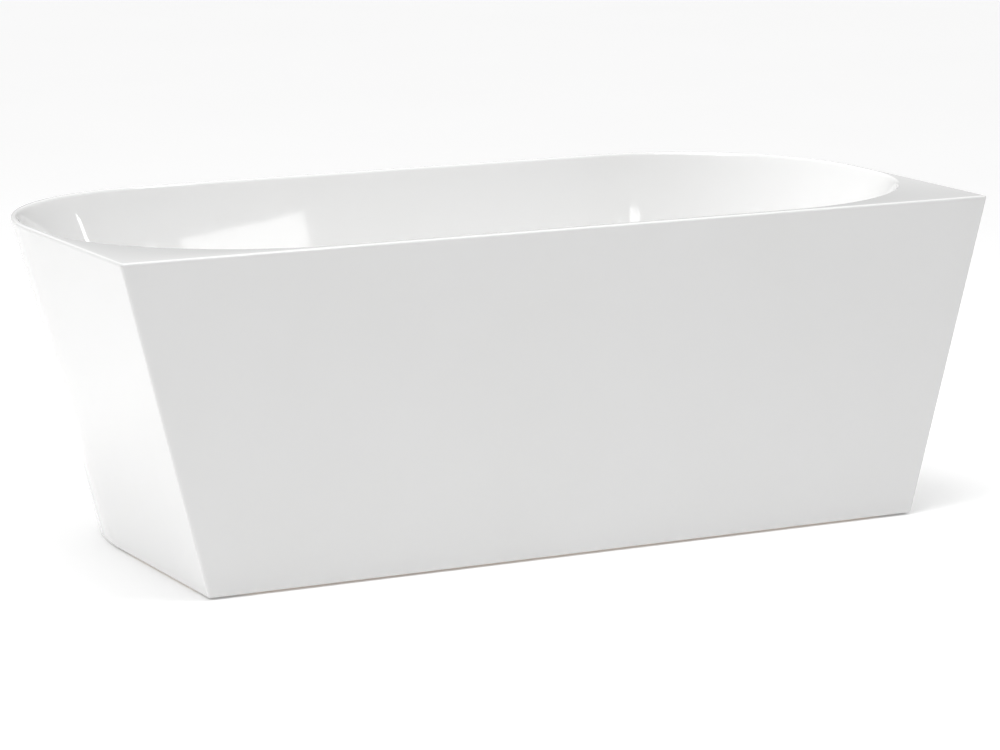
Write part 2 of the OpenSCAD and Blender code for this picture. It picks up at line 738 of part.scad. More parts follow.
module trap_bend() {
    color("ivory") difference() {
        union() {
            trap_bend_rod(pipe_r, 0);
            rod(0, trap_top - trap_flange_h, spigot_r, trap_flange_h);
        }
        trap_bend_rod(pipe_r - pipe_t, 1);
    }
}

module trap_outlet_rod(r, more) {
    level_rod(3 * trap_bend_r + trap_run / 2 - more, 3 * trap_bend_r + trap_run, r);
    trap_turn([3 * trap_bend_r + trap_run, trap_crown_z], [90, 0, 0], 90, r);
    rod(outlet_x, outlet_end_z - more, r, trap_crown_z - outlet_end_z + more);
}

module trap_outlet() {
    color("ivory") difference() {
        trap_outlet_rod(pipe_r, 0);
        trap_outlet_rod(pipe_r - pipe_t, 1);
    }
}

module trap_coupling() {
    middle = 3 * trap_bend_r + trap_run / 2;
    color("ivory") difference() {
        level_rod(middle - 11, middle + 11, pipe_r + 4);
        level_rod(middle - 12, middle + 12, pipe_r + run_fit);
    }
}

// ---- Overflow ------------------------------------------------------------------------------

module overflow_gasket() {
    color("black") at_overflow() translate([0, 0, -shell_t - overflow_gasket_t])
        ring(overflow_hole_d / 2, elbow_flange_r, overflow_gasket_t);
}

module at_elbow_spigot(drop) { translate([0, elbow_spigot_y, elbow_spigot_z - drop]) children(); }

module overflow_elbow() {
    flange_top = -shell_t - overflow_gasket_t;
    color("ivory") {
        difference() {
            union() {
                at_overflow() translate([0, 0, -elbow_depth]) cylinder(r = elbow_r, h = elbow_depth - 1);
                at_overflow() translate([0, 0, flange_top - elbow_flange_h])
                    cylinder(r = elbow_flange_r, h = elbow_flange_h);
                at_elbow_spigot(elbow_spigot_l) cylinder(r = hose_bore_r - run_fit, h = elbow_spigot_l);
            }
            at_overflow() translate([0, 0, elbow_t - elbow_depth])
                cylinder(r = elbow_r - elbow_t, h = elbow_depth);
            at_elbow_spigot(elbow_spigot_l + 1) cylinder(r = hose_bore_r - 2, h = elbow_spigot_l + 1);
        }
        at_overflow() difference() {
            translate([-elbow_r + 1, -3, -6]) cube([2 * elbow_r - 2, 6, 4]);
            translate([0, 0, -7]) cylinder(d = screw_d + 2 * run_fit, h = 6);
        }
    }
}

module overflow_cover() {
    r = cover_d / 2;
    color("silver") at_overflow() difference() {
        rotate_extrude() polygon([[0, cover_h - cover_t], [r - 5, cover_h - cover_t],
            [r - 2.5, cover_h - 4.5], [r - 2.5, 0], [r, 0], [r, cover_h - 4],
            [r - 1.2, cover_h - 1.2], [r - 4, cover_h], [0, cover_h]]);
        translate([-14, 0, -1]) cube([28, r + 1, 6]);
        translate([0, 0, -1]) cylinder(d = screw_d + 2 * run_fit, h = cover_h + 2);
    }
}

module overflow_cover_screw() {
    color("silver") at_overflow() translate([0, 0, cover_h])
        rotate([180, 0, 0]) screw(screw_d, cover_h + 6);
}

module hose_rod(r, more) {
    translate([0, elbow_spigot_y, port_z + hose_bend_r])
        cylinder(r = r, h = hose_top - port_z - hose_bend_r + more);
    translate([0, elbow_spigot_y + hose_bend_r, port_z + hose_bend_r]) rotate([-90, 0, -90])
        rotate_extrude(angle = 90) translate([hose_bend_r, 0]) circle(r = r);
    translate([0, hose_end_y + more, port_z]) rotate([90, 0, 0])
        cylinder(r = r, h = hose_end_y + more - elbow_spigot_y - hose_bend_r);
}

module overflow_hose() {
    color("white") difference() {
        hose_rod(hose_d / 2, 0);
        hose_rod(hose_bore_r, 1);
    }
}

module hose_nut() { ring(hose_d / 2 + run_fit, hose_d / 2 + hose_nut_t, hose_nut_h); }

module hose_nuts() {
    color("ivory") {
        translate([0, elbow_spigot_y, hose_top - hose_nut_h - 1]) hose_nut();
        translate([0, hose_end_y - 1, port_z]) rotate([90, 0, 0]) hose_nut();
    }
}

inner_basin();
basin_backing();
outer_skirt();
skirt_battens();
base_board();
frame_rail_wall();
frame_rail_room();
cross_bar_left();
cross_bar_middle();
cross_bar_right();
tube_end_caps();
frame_screws();
skirt_brackets();
bracket_screws();
foot_weld_nuts();
foot_lock_nuts();
foot_pad_wall_left();
foot_pad_wall_right();
foot_pad_room_left();
foot_pad_room_right();
foot_pad_middle();
foot_stud_wall_left();
foot_stud_wall_right();
foot_stud_room_left();
foot_stud_room_right();
foot_stud_middle();
drain_flange();
drain_top_gasket();
drain_lower_gasket();
waste_body();
waste_union_nut();
plug_cap();
plug_seal();
plug_plunger();
plug_cartridge();
plug_spring();
overflow_cover();
overflow_cover_screw();
overflow_gasket();
overflow_elbow();
overflow_hose();
hose_nuts();
trap_bend();
trap_outlet();
trap_coupling();
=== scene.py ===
# %% [markdown]
# # A back-to-wall bathtub in glossy acrylic
#
# The real bath is two thin acrylic shells: a basin with its rim, and a skirt round it.
# Everything that carries or drains the water hides between them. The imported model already
# says where each piece is, so this lesson loads it first and only then works on the looks.

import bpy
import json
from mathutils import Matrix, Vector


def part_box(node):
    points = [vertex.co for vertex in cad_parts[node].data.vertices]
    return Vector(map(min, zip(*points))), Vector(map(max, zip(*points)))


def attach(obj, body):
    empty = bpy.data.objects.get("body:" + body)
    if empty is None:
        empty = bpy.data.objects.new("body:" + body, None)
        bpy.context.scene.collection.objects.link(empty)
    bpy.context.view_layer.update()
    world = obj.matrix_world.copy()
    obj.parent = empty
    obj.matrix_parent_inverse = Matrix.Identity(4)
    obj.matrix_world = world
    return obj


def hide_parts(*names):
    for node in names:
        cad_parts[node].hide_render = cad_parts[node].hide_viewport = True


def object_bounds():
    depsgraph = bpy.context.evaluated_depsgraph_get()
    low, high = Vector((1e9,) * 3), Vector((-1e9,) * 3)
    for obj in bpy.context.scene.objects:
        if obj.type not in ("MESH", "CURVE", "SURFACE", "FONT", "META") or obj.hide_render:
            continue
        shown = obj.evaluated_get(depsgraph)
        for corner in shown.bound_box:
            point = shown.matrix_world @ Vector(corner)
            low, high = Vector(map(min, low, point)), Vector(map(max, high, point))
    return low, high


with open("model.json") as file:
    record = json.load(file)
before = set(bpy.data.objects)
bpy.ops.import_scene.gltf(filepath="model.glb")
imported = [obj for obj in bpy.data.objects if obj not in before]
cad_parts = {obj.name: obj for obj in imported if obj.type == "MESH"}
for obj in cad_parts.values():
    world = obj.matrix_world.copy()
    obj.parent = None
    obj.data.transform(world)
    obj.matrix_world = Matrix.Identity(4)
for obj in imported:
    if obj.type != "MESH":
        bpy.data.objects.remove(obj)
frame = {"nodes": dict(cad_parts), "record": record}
cad_low, cad_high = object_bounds()
print(len(frame["nodes"]), "nodes in the frame")

# %% [markdown]
# ## Names and units
#
# The frame is in metres, but a bath is drawn in millimetres. A size is therefore multiplied
# by MM where it is named, and a turned outline or a pipe once as a whole.

# %% Names and units
import json
import math

import bpy
import numpy as np
from mathutils import Matrix, Vector

MM = 0.001
scene = bpy.context.scene
print("the bath measures", [round(s / MM) for s in cad_high - cad_low], "mm")

# %% [markdown]
# ## The camera
#
# A bath is best seen from a little above its rim, from far off with a long lens, so that
# its edges stay nearly parallel. A camera could be aimed with a constraint, but a rotation
# worked out from three plain angles is easier to reuse.

# %% Aim the camera
def look(turn, tilt, roll):
    """The rotation of a camera that looks along +Y, then is turned to the right by turn,
    raised by tilt and rolled by roll, all in degrees."""
    a, b, c = (math.radians(v) for v in (turn, tilt, roll))
    ahead = Vector((math.sin(a) * math.cos(b), math.cos(a) * math.cos(b), math.sin(b)))
    right = Vector((math.cos(a), -math.sin(a), 0))
    up = right.cross(ahead)
    rolled_right = right * math.cos(c) + up * math.sin(c)
    rolled_up = up * math.cos(c) - right * math.sin(c)
    return Matrix((rolled_right, rolled_up, -ahead)).transposed()


CAMERA_AT = (-3.1865, -6.1483, 1.6138)
TURN, TILT, ROLL = 27.817, -11.127, 0.218
LENS = 139.1

camera = bpy.data.objects.new("camera", bpy.data.cameras.new("camera"))
scene.collection.objects.link(camera)
camera.data.sensor_width = 36
camera.data.lens = LENS
camera.matrix_world = Matrix.Translation(CAMERA_AT) @ look(TURN, TILT, ROLL).to_4x4()
camera.data.clip_end = 100
scene.camera = camera
print("camera lens", camera.data.lens, "mm")

# %% [markdown]
# ## Surfaces from arrays
#
# A moulded shell is easiest to describe as rows of points. Modelling by hand with
# subdivision would also do, but a formula keeps the wall thickness and the fillets exact.
# Every piece here is a grid of points: one direction runs round the piece, the other
# runs along its profile.

# %% Turn a grid of points into a mesh
def quads(rows, columns, wrap):
    """Corner numbers of the faces of a grid. The columns always close on themselves, and
    the rows do too when wrap is true."""
    row = np.arange(rows if wrap else rows - 1)[:, None]
    column = np.arange(columns)[None, :]
    down, right = (row + 1) % rows, (column + 1) % columns
    corners = (row * columns + column, down * columns + column, down * columns + right, row * columns + right)
    return np.stack(np.broadcast_arrays(*corners), axis=-1).reshape(-1, 4)


def pole_fan(pole, ring_start, columns, flip):
    """Triangles between one pole and the ring that starts at ring_start."""
    here = ring_start + np.arange(columns)
    there = ring_start + (np.arange(columns) + 1) % columns
    pair = (there, here) if flip else (here, there)
    return np.stack((np.full(columns, pole), *pair), axis=-1)


def enclosed_volume(points, faces):
    """The sum of the signed volumes of the tetrahedra from the origin to each face's
    triangles. It is positive when the faces point outwards."""
    total = 0.0
    for face_set in faces:
        first = points[face_set[:, 0]]
        for k in range(1, face_set.shape[1] - 1):
            edge = np.cross(points[face_set[:, k]], points[face_set[:, k + 1]])
            total += float((first * edge).sum()) / 6
    return total


def shell(name, grid, poles=False, sharp=35):
    """A closed mesh from a (rows, columns, 3) grid in metres. With poles, the first and the
    last row are single points; without, the last row joins the first. Edges that bend by
    more than sharp degrees are shaded as creases."""
    rows, columns, _ = grid.shape
    if poles:
        body = grid[1:-1]
        points = np.concatenate((body.reshape(-1, 3), grid[0, :1], grid[-1, :1]))
        last = (rows - 3) * columns
        faces = [quads(rows - 2, columns, False), pole_fan(len(points) - 2, 0, columns, False),
                 pole_fan(len(points) - 1, last, columns, True)]
    else:
        points = grid.reshape(-1, 3)
        faces = [quads(rows, columns, True)]
    if enclosed_volume(points, faces) < 0:
        faces = [f[:, ::-1] for f in faces]
    mesh = bpy.data.meshes.new(name)
    mesh.from_pydata(points, [], [f for face_set in faces for f in face_set.tolist()])
    mesh.polygons.foreach_set("use_smooth", np.ones(len(mesh.polygons), bool))
    mesh.set_sharp_from_angle(angle=math.radians(sharp))
    mesh.validate()
    mesh.update()
    piece = bpy.data.objects.new(name, mesh)
    scene.collection.objects.link(piece)
    print(name, len(mesh.polygons), "faces")
    return piece

# %% [markdown]
# ## The outline of a bath
#
# Seen from above, every level of the bath is a rectangle whose corners are quarter
# ellipses: small at the two upright edges by the wall, wide on the room side. One function
# gives that loop for many levels at once, so a whole wall is a single call.

# %% One loop per level
CORNER_POINTS = 40
LONG_POINTS = 36
END_POINTS = 14


def mix(a, b, t):
    """A straight blend from a to b."""
    return a + (b - a) * t


def bend(a, b, c, t):
    """A quadratic curve that leaves a towards b and arrives at c from b."""
    return (1 - t) ** 2 * a + 2 * t * (1 - t) * b + t ** 2 * c


def quarter(cx, cy, rx, ry, start):
    """A quarter ellipse for each level: centre plus radii times cosine and sine."""
    w = np.radians(start + np.linspace(0, 90, CORNER_POINTS))[None, :]
    return np.stack((cx[:, None] + rx[:, None] * np.cos(w), cy[:, None] + ry[:, None] * np.sin(w)), -1)


def between(p, q, count):
    """The inner points of the straights from p to q, cut into count steps."""
    t = (np.arange(1, count) / count)[None, :, None]
    return mix(p[:, None], q[:, None], t)


def loop(half, y_wall, y_room, wall, room, z):
    """Rounded rectangles of half-length half from y_wall to y_room, one per level. wall and
    room are the (x, y) radii of the corners. It starts at the left wall-side corner and runs
    anticlockwise, and returns a (levels, points, 3) grid."""
    parts = np.broadcast_arrays(half, y_wall, y_room, *wall, *room, z)
    half, y_wall, y_room, wx, wy, rx, ry, z = (np.atleast_1d(np.array(p, float)) for p in parts)
    a = quarter(-half + wx, y_wall + wy, wx, wy, 180)
    b = quarter(half - wx, y_wall + wy, wx, wy, 270)
    c = quarter(half - rx, y_room - ry, rx, ry, 0)
    d = quarter(-half + rx, y_room - ry, rx, ry, 90)
    straights = (between(a[:, -1], b[:, 0], LONG_POINTS), between(b[:, -1], c[:, 0], END_POINTS),
                 between(c[:, -1], d[:, 0], LONG_POINTS), between(d[:, -1], a[:, 0], END_POINTS))
    flat = np.concatenate([part for pair in zip((a, b, c, d), straights) for part in pair], 1)
    return np.concatenate((flat, np.broadcast_to(z[:, None, None], flat.shape[:2] + (1,))), -1)


plain_loop = loop(1.0, 0.0, 1.0, (0.1, 0.1), (0.1, 0.1), 0.0)
print("one loop has", plain_loop.shape[1], "points")

# %% [markdown]
# ## The skirt
#
# The skirt is a thin sheet, vertical where the bath meets the wall and leaning outwards at
# both ends and on the room side. It could be a box with a lattice, but then the corners
# would pinch. Here the loops at the foot and at the rim are blended level by level.

# %% The skirt's levels
LENGTH = cad_high.x - cad_low.x
WALL_Y, ROOM_Y = cad_low.y, cad_high.y
RIM_Z = cad_high.z
SKIRT_FOOT_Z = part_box("outer_skirt")[0].z
FOOT_HALF = 700 * MM
ROOM_LEAN = 95 * MM
ROOM_CORNER = 365 * MM
FOOT_CORNER = np.array((205, 310)) * MM
WALL_EDGE = 6 * MM
SKIRT_WALL = 5 * MM
LIP_Z = RIM_Z - 12 * MM
FOOT_ROUND = 3 * MM


def skirt_loop(z, inset=0.0):
    """The skirt's outline at heights z, taken in by inset. Everything blends in a straight
    line from the foot to the rim."""
    t = (z - SKIRT_FOOT_Z) / (RIM_Z - SKIRT_FOOT_Z)
    edge = np.maximum(WALL_EDGE - inset, 1 * MM)
    rx, ry = (mix(c, ROOM_CORNER, t) - inset for c in FOOT_CORNER)
    return loop(mix(FOOT_HALF, LENGTH / 2, t) - inset, WALL_Y + inset, ROOM_Y - ROOM_LEAN * (1 - t) - inset,
                (edge, edge), (rx, ry), z)


turn = np.radians(np.linspace(0, 90, 7))
foot_edge = skirt_loop(SKIRT_FOOT_Z + FOOT_ROUND * (1 - np.cos(turn)), FOOT_ROUND * (1 - np.sin(turn)))
outside = skirt_loop(np.linspace(SKIRT_FOOT_Z + 1.2 * FOOT_ROUND, LIP_Z, 24))
inside = skirt_loop(np.linspace(LIP_Z, SKIRT_FOOT_Z, 12), SKIRT_WALL)
skirt = shell("skirt_shell", np.concatenate((foot_edge, outside, inside)))

# %% [markdown]
# ## The basin and its rim
#
# The basin is one vacuum-formed sheet: a floor that falls to the drain, walls that lean
# outwards, a fillet into a narrow deck and a rolled outer edge. Joining separate patches
# would leave visible seams in such a glossy surface. So the sheet is one profile that
# starts at the drain hole, goes up the inside, over the rim and back underneath.

# %% The basin's walls
RIM_ROOM = 15 * MM
RIM_WALL = 22 * MM
INNER_ROUND = 7 * MM
OUTER_ROUND = 6 * MM
OPEN_Z = RIM_Z - INNER_ROUND
OPEN_HALF = LENGTH / 2 - RIM_ROOM
OPEN_WALL_Y, OPEN_ROOM_Y = WALL_Y + RIM_WALL, ROOM_Y - RIM_ROOM
OPEN_WALL_CORNER = np.array((400, 350)) * MM
OPEN_ROOM_CORNER = np.array((350, 350)) * MM
END_SLOPE, SIDE_SLOPE = math.tan(math.radians(30)), math.tan(math.radians(15))
FLOOR_Z = 174 * MM
FLOOR_CORNER = 165 * MM
SWEEP_H = 110 * MM
END_SWEEP, SIDE_SWEEP = 110 * MM, 70 * MM
SHEET = 5 * MM


def basin_sides(z, out):
    """Half-length and the two y limits of the basin at heights z, moved out by out square
    to the leaning walls."""
    depth = OPEN_Z - z
    end, side = (out * math.sqrt(1 + s * s) for s in (END_SLOPE, SIDE_SLOPE))
    return (OPEN_HALF - depth * END_SLOPE + end, OPEN_WALL_Y + depth * SIDE_SLOPE - side,
            OPEN_ROOM_Y - depth * SIDE_SLOPE + side)


def corner_radii(corner, z, out):
    """The corners tighten from the opening down to the floor."""
    t = np.clip((z - FLOOR_Z) / (OPEN_Z - FLOOR_Z), 0, 1)
    return tuple(mix(FLOOR_CORNER, c, t) + out for c in corner)


def wall_loops(z, out=0.0):
    """Straight, leaning walls at heights z."""
    return loop(*basin_sides(z, out), corner_radii(OPEN_WALL_CORNER, z, out),
                corner_radii(OPEN_ROOM_CORNER, z, out), z)


def sweep_loops(t, out=0.0, floor=FLOOR_Z):
    """The curve from wall to floor: a quadratic bend that follows the wall at t = 0 and lies
    flat at t = 1."""
    top = FLOOR_Z + SWEEP_H
    high, low = basin_sides(top, out), basin_sides(floor, out)
    reach = (-END_SWEEP, SIDE_SWEEP, -SIDE_SWEEP)
    sides = (bend(h, l, l + r, t) for h, l, r in zip(high, low, reach))
    wall, room = (tuple(mix(c, FLOOR_CORNER, t) for c in corner_radii(corner, top, out))
                  for corner in (OPEN_WALL_CORNER, OPEN_ROOM_CORNER))
    return loop(*sides, wall, room, bend(top, floor, floor, t))


print("the opening is", round(2 * OPEN_HALF / MM), "mm long")

# %% [markdown]
# ## Floor, drain recess and rim
#
# Near the drain the rectangular loops have to become circles. Each point of the floor's
# edge is joined by a straight line to the point of the drain's circle that faces it, and
# the height eases from the floor down to the recess.

# %% The floor round the drain
flange_low, flange_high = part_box("drain_flange")
DRAIN = Vector(((flange_low.x + flange_high.x) / 2, (flange_low.y + flange_high.y) / 2))
DRAIN_HOLE = 26 * MM
RECESS_R = (flange_high.x - flange_low.x) / 2 + 6 * MM
STEP_HALF = 3 * MM
RECESS_Z = FLOOR_Z - 9 * MM
DRAIN_FLOOR_Z = FLOOR_Z - 5 * MM


def ease(t):
    """A blend that starts and ends level: three t squared less two t cubed."""
    t = np.clip(t, 0, 1)
    return t * t * (3 - 2 * t)


def circle_towards(edge, radius):
    """Circles round the drain, with a point towards each point of the loop edge."""
    away = edge[:, :2] - np.array(DRAIN)
    away = away / np.linalg.norm(away, axis=1, keepdims=True)
    return np.array(DRAIN) + away[None] * np.atleast_1d(radius)[:, None, None]


def floor_loops(edge, drop):
    """From the drain hole out to the loop edge: a flat recess, a step and the long fall."""
    step_r = RECESS_R + np.linspace(-STEP_HALF, STEP_HALF, 7)
    radius = np.array((DRAIN_HOLE, RECESS_R - 4 * MM, *step_r, RECESS_R + 5 * MM))
    rings = circle_towards(edge, radius)
    height = mix(RECESS_Z, DRAIN_FLOOR_Z, ease((radius - RECESS_R + STEP_HALF) / (2 * STEP_HALF)))
    near = np.concatenate((rings, np.broadcast_to(height[:, None, None], rings.shape[:2] + (1,))), -1)
    t = np.linspace(0, 1, 20)[1:-1, None, None]
    far = mix(rings[-1:], edge[None, :, :2], t)
    rise = np.broadcast_to(mix(DRAIN_FLOOR_Z, FLOOR_Z, ease(t)), far.shape[:2] + (1,))
    lowered = np.concatenate((near, np.concatenate((far, rise), -1)))
    lowered[..., 2] -= drop
    return lowered


sweep_t = np.linspace(1, 0, 28)
inner_sweep = sweep_loops(sweep_t)
inner_walls = wall_loops(np.linspace(FLOOR_Z + SWEEP_H, OPEN_Z, 20)[1:])
print("drain at", [round(v / MM) for v in DRAIN], "mm")

# %% [markdown]
# ## The rim
#
# The rim carries the brightest lines of the whole bath, so its fillets are real curves.
# Two rows stand close together just inside the outer edge, to keep the deck flat up to it.
# Under the edge hangs a lip that covers the skirt, and a tongue to glue the skirt to.

# %% The rim
def fillet_loops(t):
    """From the leaning wall up and over on to the deck, tangent to both."""
    rise = OPEN_Z + bend(0, INNER_ROUND, INNER_ROUND, t)
    end, side = (bend(0, INNER_ROUND * s, INNER_ROUND, t) for s in (END_SLOPE, SIDE_SLOPE))
    return loop(OPEN_HALF + end, OPEN_WALL_Y - side, OPEN_ROOM_Y + side,
                tuple(c + side for c in OPEN_WALL_CORNER), tuple(c + side for c in OPEN_ROOM_CORNER), rise)


def edge_loops(t):
    """From the deck over the outer edge on to the skirt's line, tangent to both."""
    top = skirt_loop(np.array([RIM_Z]))
    deck = skirt_loop(np.array([RIM_Z]), OUTER_ROUND)
    below = skirt_loop(np.array([RIM_Z - OUTER_ROUND]))
    return bend(deck, top, below, np.asarray(t)[:, None, None])


steps = np.linspace(0, 1, 9)
guard_inset = OUTER_ROUND + np.array([0.8, 0.4]) * MM
deck_guard = skirt_loop(np.array([RIM_Z, RIM_Z]), guard_inset)
TONGUE_GAP, TONGUE = 0.3 * MM, 3 * MM
TONGUE_Z = LIP_Z - 23 * MM
tongue_out = SKIRT_WALL + TONGUE_GAP
tongue_in = tongue_out + TONGUE
lip = np.concatenate((
    skirt_loop(np.array([RIM_Z - 1.1 * OUTER_ROUND, LIP_Z])),
    skirt_loop(np.array([LIP_Z, TONGUE_Z]), tongue_out),
    skirt_loop(np.array([TONGUE_Z, RIM_Z - SHEET]), tongue_in)))
outer_walls = wall_loops(np.linspace(OPEN_Z, FLOOR_Z + SWEEP_H, 14), SHEET)
outer_sweep = sweep_loops(sweep_t[::-1], SHEET, FLOOR_Z - SHEET)
basin = shell("basin_shell", np.concatenate((
    floor_loops(inner_sweep[0], 0), inner_sweep, inner_walls, fillet_loops(steps[1:]), deck_guard,
    edge_loops(steps), lip, outer_walls, outer_sweep[1:], floor_loops(outer_sweep[-1], SHEET)[::-1])))

# %% [markdown]
# ## Building materials from nodes
#
# Each finish is a Principled shader. What is the same all over goes straight into the
# shader's sockets. What varies, such as grain, flakes or polish, comes from noise in
# Object coordinates, so it keeps its real size and stays put on the piece. Image textures
# would look as good from afar, but they blur close up.

# %% Helpers for nodes
def finish(name, colour, rough, metal=0.0, **plain):
    """A Principled material whose constant sockets are set directly."""
    made = bpy.data.materials.new(name)
    made.use_nodes = True
    shader = made.node_tree.nodes["Principled BSDF"]
    sockets = {"Base Color": (*colour, 1), "Roughness": rough, "Metallic": metal}
    for socket, value in {**sockets, **plain}.items():
        shader.inputs[socket].default_value = value
    made.diffuse_color = (*colour, 1)
    return made


def add_node(made, kind, settings=None, inputs=None):
    """A node with its settings and inputs. An input that is a socket gets linked."""
    node = made.node_tree.nodes.new(kind)
    for key, value in (settings or {}).items():
        setattr(node, key, value)
    for key, value in (inputs or {}).items():
        if isinstance(value, bpy.types.NodeSocket):
            made.node_tree.links.new(value, node.inputs[key])
        else:
            node.inputs[key].default_value = value
    return node


def place(made, stretch=(1, 1, 1), turned=0.0, shift=(0, 0, 0)):
    """Object coordinates, shifted, turned about Z by degrees and stretched."""
    coordinates = add_node(made, "ShaderNodeTexCoord").outputs["Object"]
    rotation = (0, 0, math.radians(turned))
    mapping = {"Vector": coordinates, "Scale": stretch, "Rotation": rotation, "Location": shift}
    return add_node(made, "ShaderNodeMapping", inputs=mapping).outputs["Vector"]


def noise(made, scale, detail=3.0, **where):
    """Smooth random values. The scale is in waves per metre."""
    values = {"Vector": place(made, **where), "Scale": scale, "Detail": detail}
    return add_node(made, "ShaderNodeTexNoise", inputs=values).outputs["Fac"]


def spread(made, value, low, high, from_low=0.3, from_high=0.7):
    """Carries a value between 0 and 1 over to the range low to high."""
    values = {"Value": value, "From Min": from_low, "From Max": from_high, "To Min": low, "To Max": high}
    return add_node(made, "ShaderNodeMapRange", inputs=values).outputs["Result"]


def calculate(made, operation, *values):
    """A Math node on sockets or numbers."""
    return add_node(made, "ShaderNodeMath", {"operation": operation}, dict(enumerate(values))).outputs[0]


def tint(made, value, *stops):
    """A colour ramp through (position, colour) stops."""
    node = add_node(made, "ShaderNodeValToRGB", inputs={"Fac": value})
    ramp = node.color_ramp
    while len(ramp.elements) < len(stops):
        ramp.elements.new(1.0)
    for element, (position, colour) in zip(ramp.elements, stops):
        element.position = position
        element.color = (*colour, 1)
    return node.outputs["Color"]


def relief(made, height, depth, under=None):
    """A bump of that depth in metres, on top of another bump if one is given."""
    values = {"Height": height, "Distance": depth}
    if under:
        values["Normal"] = under
    return add_node(made, "ShaderNodeBump", inputs=values).outputs["Normal"]


def dress(made, **sockets):
    """Links patterns to the Principled shader: colour, rough or normal."""
    names = {"colour": "Base Color", "rough": "Roughness", "normal": "Normal"}
    for key, socket in sockets.items():
        made.node_tree.links.new(socket, made.node_tree.nodes["Principled BSDF"].inputs[names[key]])
    return made


print("the node helpers are ready")

# %% [markdown]
# ## Glossy sanitary acrylic
#
# The sheet is cast, then drawn over a mould while it is hot. It keeps a mirror polish, but
# the drawing leaves slow waves a hand wide and a trace of orange peel. A flat white would
# look like paper: the waves are what bends the reflections of the windows.

# %% Acrylic
ACRYLIC = (0.905, 0.905, 0.9)


def acrylic():
    """White, clear-coated, with slow waves and fine orange peel."""
    made = finish("sanitary_acrylic", ACRYLIC, 0.04, IOR=1.49)
    shader = made.node_tree.nodes["Principled BSDF"]
    shader.inputs["Coat Weight"].default_value = 0.35
    shader.inputs["Coat Roughness"].default_value = 0.02
    tone = tint(made, noise(made, 2.5), (0.3, (0.898, 0.898, 0.892)), (0.7, (0.912, 0.912, 0.91)))
    polish = spread(made, noise(made, 9, detail=5), 0.02, 0.05)
    waves = relief(made, noise(made, 14, detail=1), 0.00006)
    peel = relief(made, noise(made, 420, detail=1), 0.000003, under=waves)
    return dress(made, colour=tone, rough=polish, normal=peel)


FINISHES = {"sanitary_acrylic": acrylic()}
print("made", *FINISHES)

# %% [markdown]
# ## Glass fibre, chipboard and pine
#
# The underside of an acrylic bath is sprayed with chopped glass strands in resin, and a
# resin-sealed chipboard is bonded under the floor. The strands are long noise in three
# directions, of which the strongest shows. The chips are Voronoi cells.

# %% Fibre and board
BATTEN_WIDTH = 25 * MM


def glass_fibre():
    """Chopped strands: the maximum of three stretched noises at different angles."""
    made = finish("glass_fibre", (0.6, 0.58, 0.44), 0.45)
    layers = [noise(made, 24, detail=2, stretch=(1, 22, 6), turned=turn) for turn in (17, 76, 131)]
    strongest = layers[0]
    for layer in layers[1:]:
        strongest = calculate(made, "MAXIMUM", strongest, layer)
    colour = tint(made, strongest, (0.45, (0.46, 0.42, 0.27)), (0.62, (0.66, 0.63, 0.5)),
                  (0.8, (0.82, 0.81, 0.74)))
    drips = relief(made, noise(made, 18, detail=4), 0.002)
    rough = spread(made, noise(made, 60), 0.3, 0.6)
    return dress(made, colour=colour, rough=rough, normal=relief(made, strongest, 0.0012, under=drips))


def chipboard():
    """Pressed chips: Voronoi cells of 4 mm, each with a tone of its own, under a resin film."""
    made = finish("chipboard", (0.42, 0.28, 0.14), 0.6)
    chips = {"Vector": place(made, stretch=(1, 1.8, 2)), "Scale": 240}
    cells = add_node(made, "ShaderNodeTexVoronoi", inputs=chips)
    tone = add_node(made, "ShaderNodeSeparateColor", inputs={"Color": cells.outputs["Color"]}).outputs["Red"]
    colour = tint(made, tone, (0.0, (0.24, 0.14, 0.06)), (0.4, (0.42, 0.27, 0.13)), (1.0, (0.62, 0.46, 0.26)))
    rough = spread(made, noise(made, 40), 0.45, 0.75)
    return dress(made, colour=colour, rough=rough, normal=relief(made, cells.outputs["Distance"], 0.0003))


def pine():
    """Sawn battens: noise drawn out along the length. The end battens run along Y."""
    made = finish("batten_wood", (0.55, 0.36, 0.18), 0.65)
    lengthways = noise(made, 70, detail=6, stretch=(0.04, 1, 1))
    crossways = noise(made, 70, detail=6, stretch=(1, 0.04, 1))
    parts = add_node(made, "ShaderNodeSeparateXYZ", inputs={"Vector": place(made)})
    sideways = calculate(made, "ABSOLUTE", parts.outputs["X"])
    end_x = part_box("skirt_battens")[1].x - BATTEN_WIDTH
    at_end = calculate(made, "GREATER_THAN", sideways, end_x)
    inputs = {"Factor": at_end, "A": lengthways, "B": crossways}
    grain = add_node(made, "ShaderNodeMix", {"data_type": "FLOAT"}, inputs).outputs["Result"]
    colour = tint(made, grain, (0.3, (0.36, 0.2, 0.08)), (0.5, (0.56, 0.37, 0.19)), (0.7, (0.68, 0.5, 0.3)))
    rough = spread(made, grain, 0.75, 0.55)
    return dress(made, colour=colour, rough=rough, normal=relief(made, grain, 0.0006))


FINISHES.update(glass_fibre=glass_fibre(), chipboard=chipboard(), batten_wood=pine())
print("made glass_fibre, chipboard and batten_wood")

# %% [markdown]
# ## Metals
#
# The frame is powder-coated, the screws and studs are zinc-plated, and the plug, its
# flange and the overflow cover are chromed. Powder coat is a paint, so it is not metallic:
# its grain is a fine bump. Plating and chrome are metallic, and only their roughness varies.

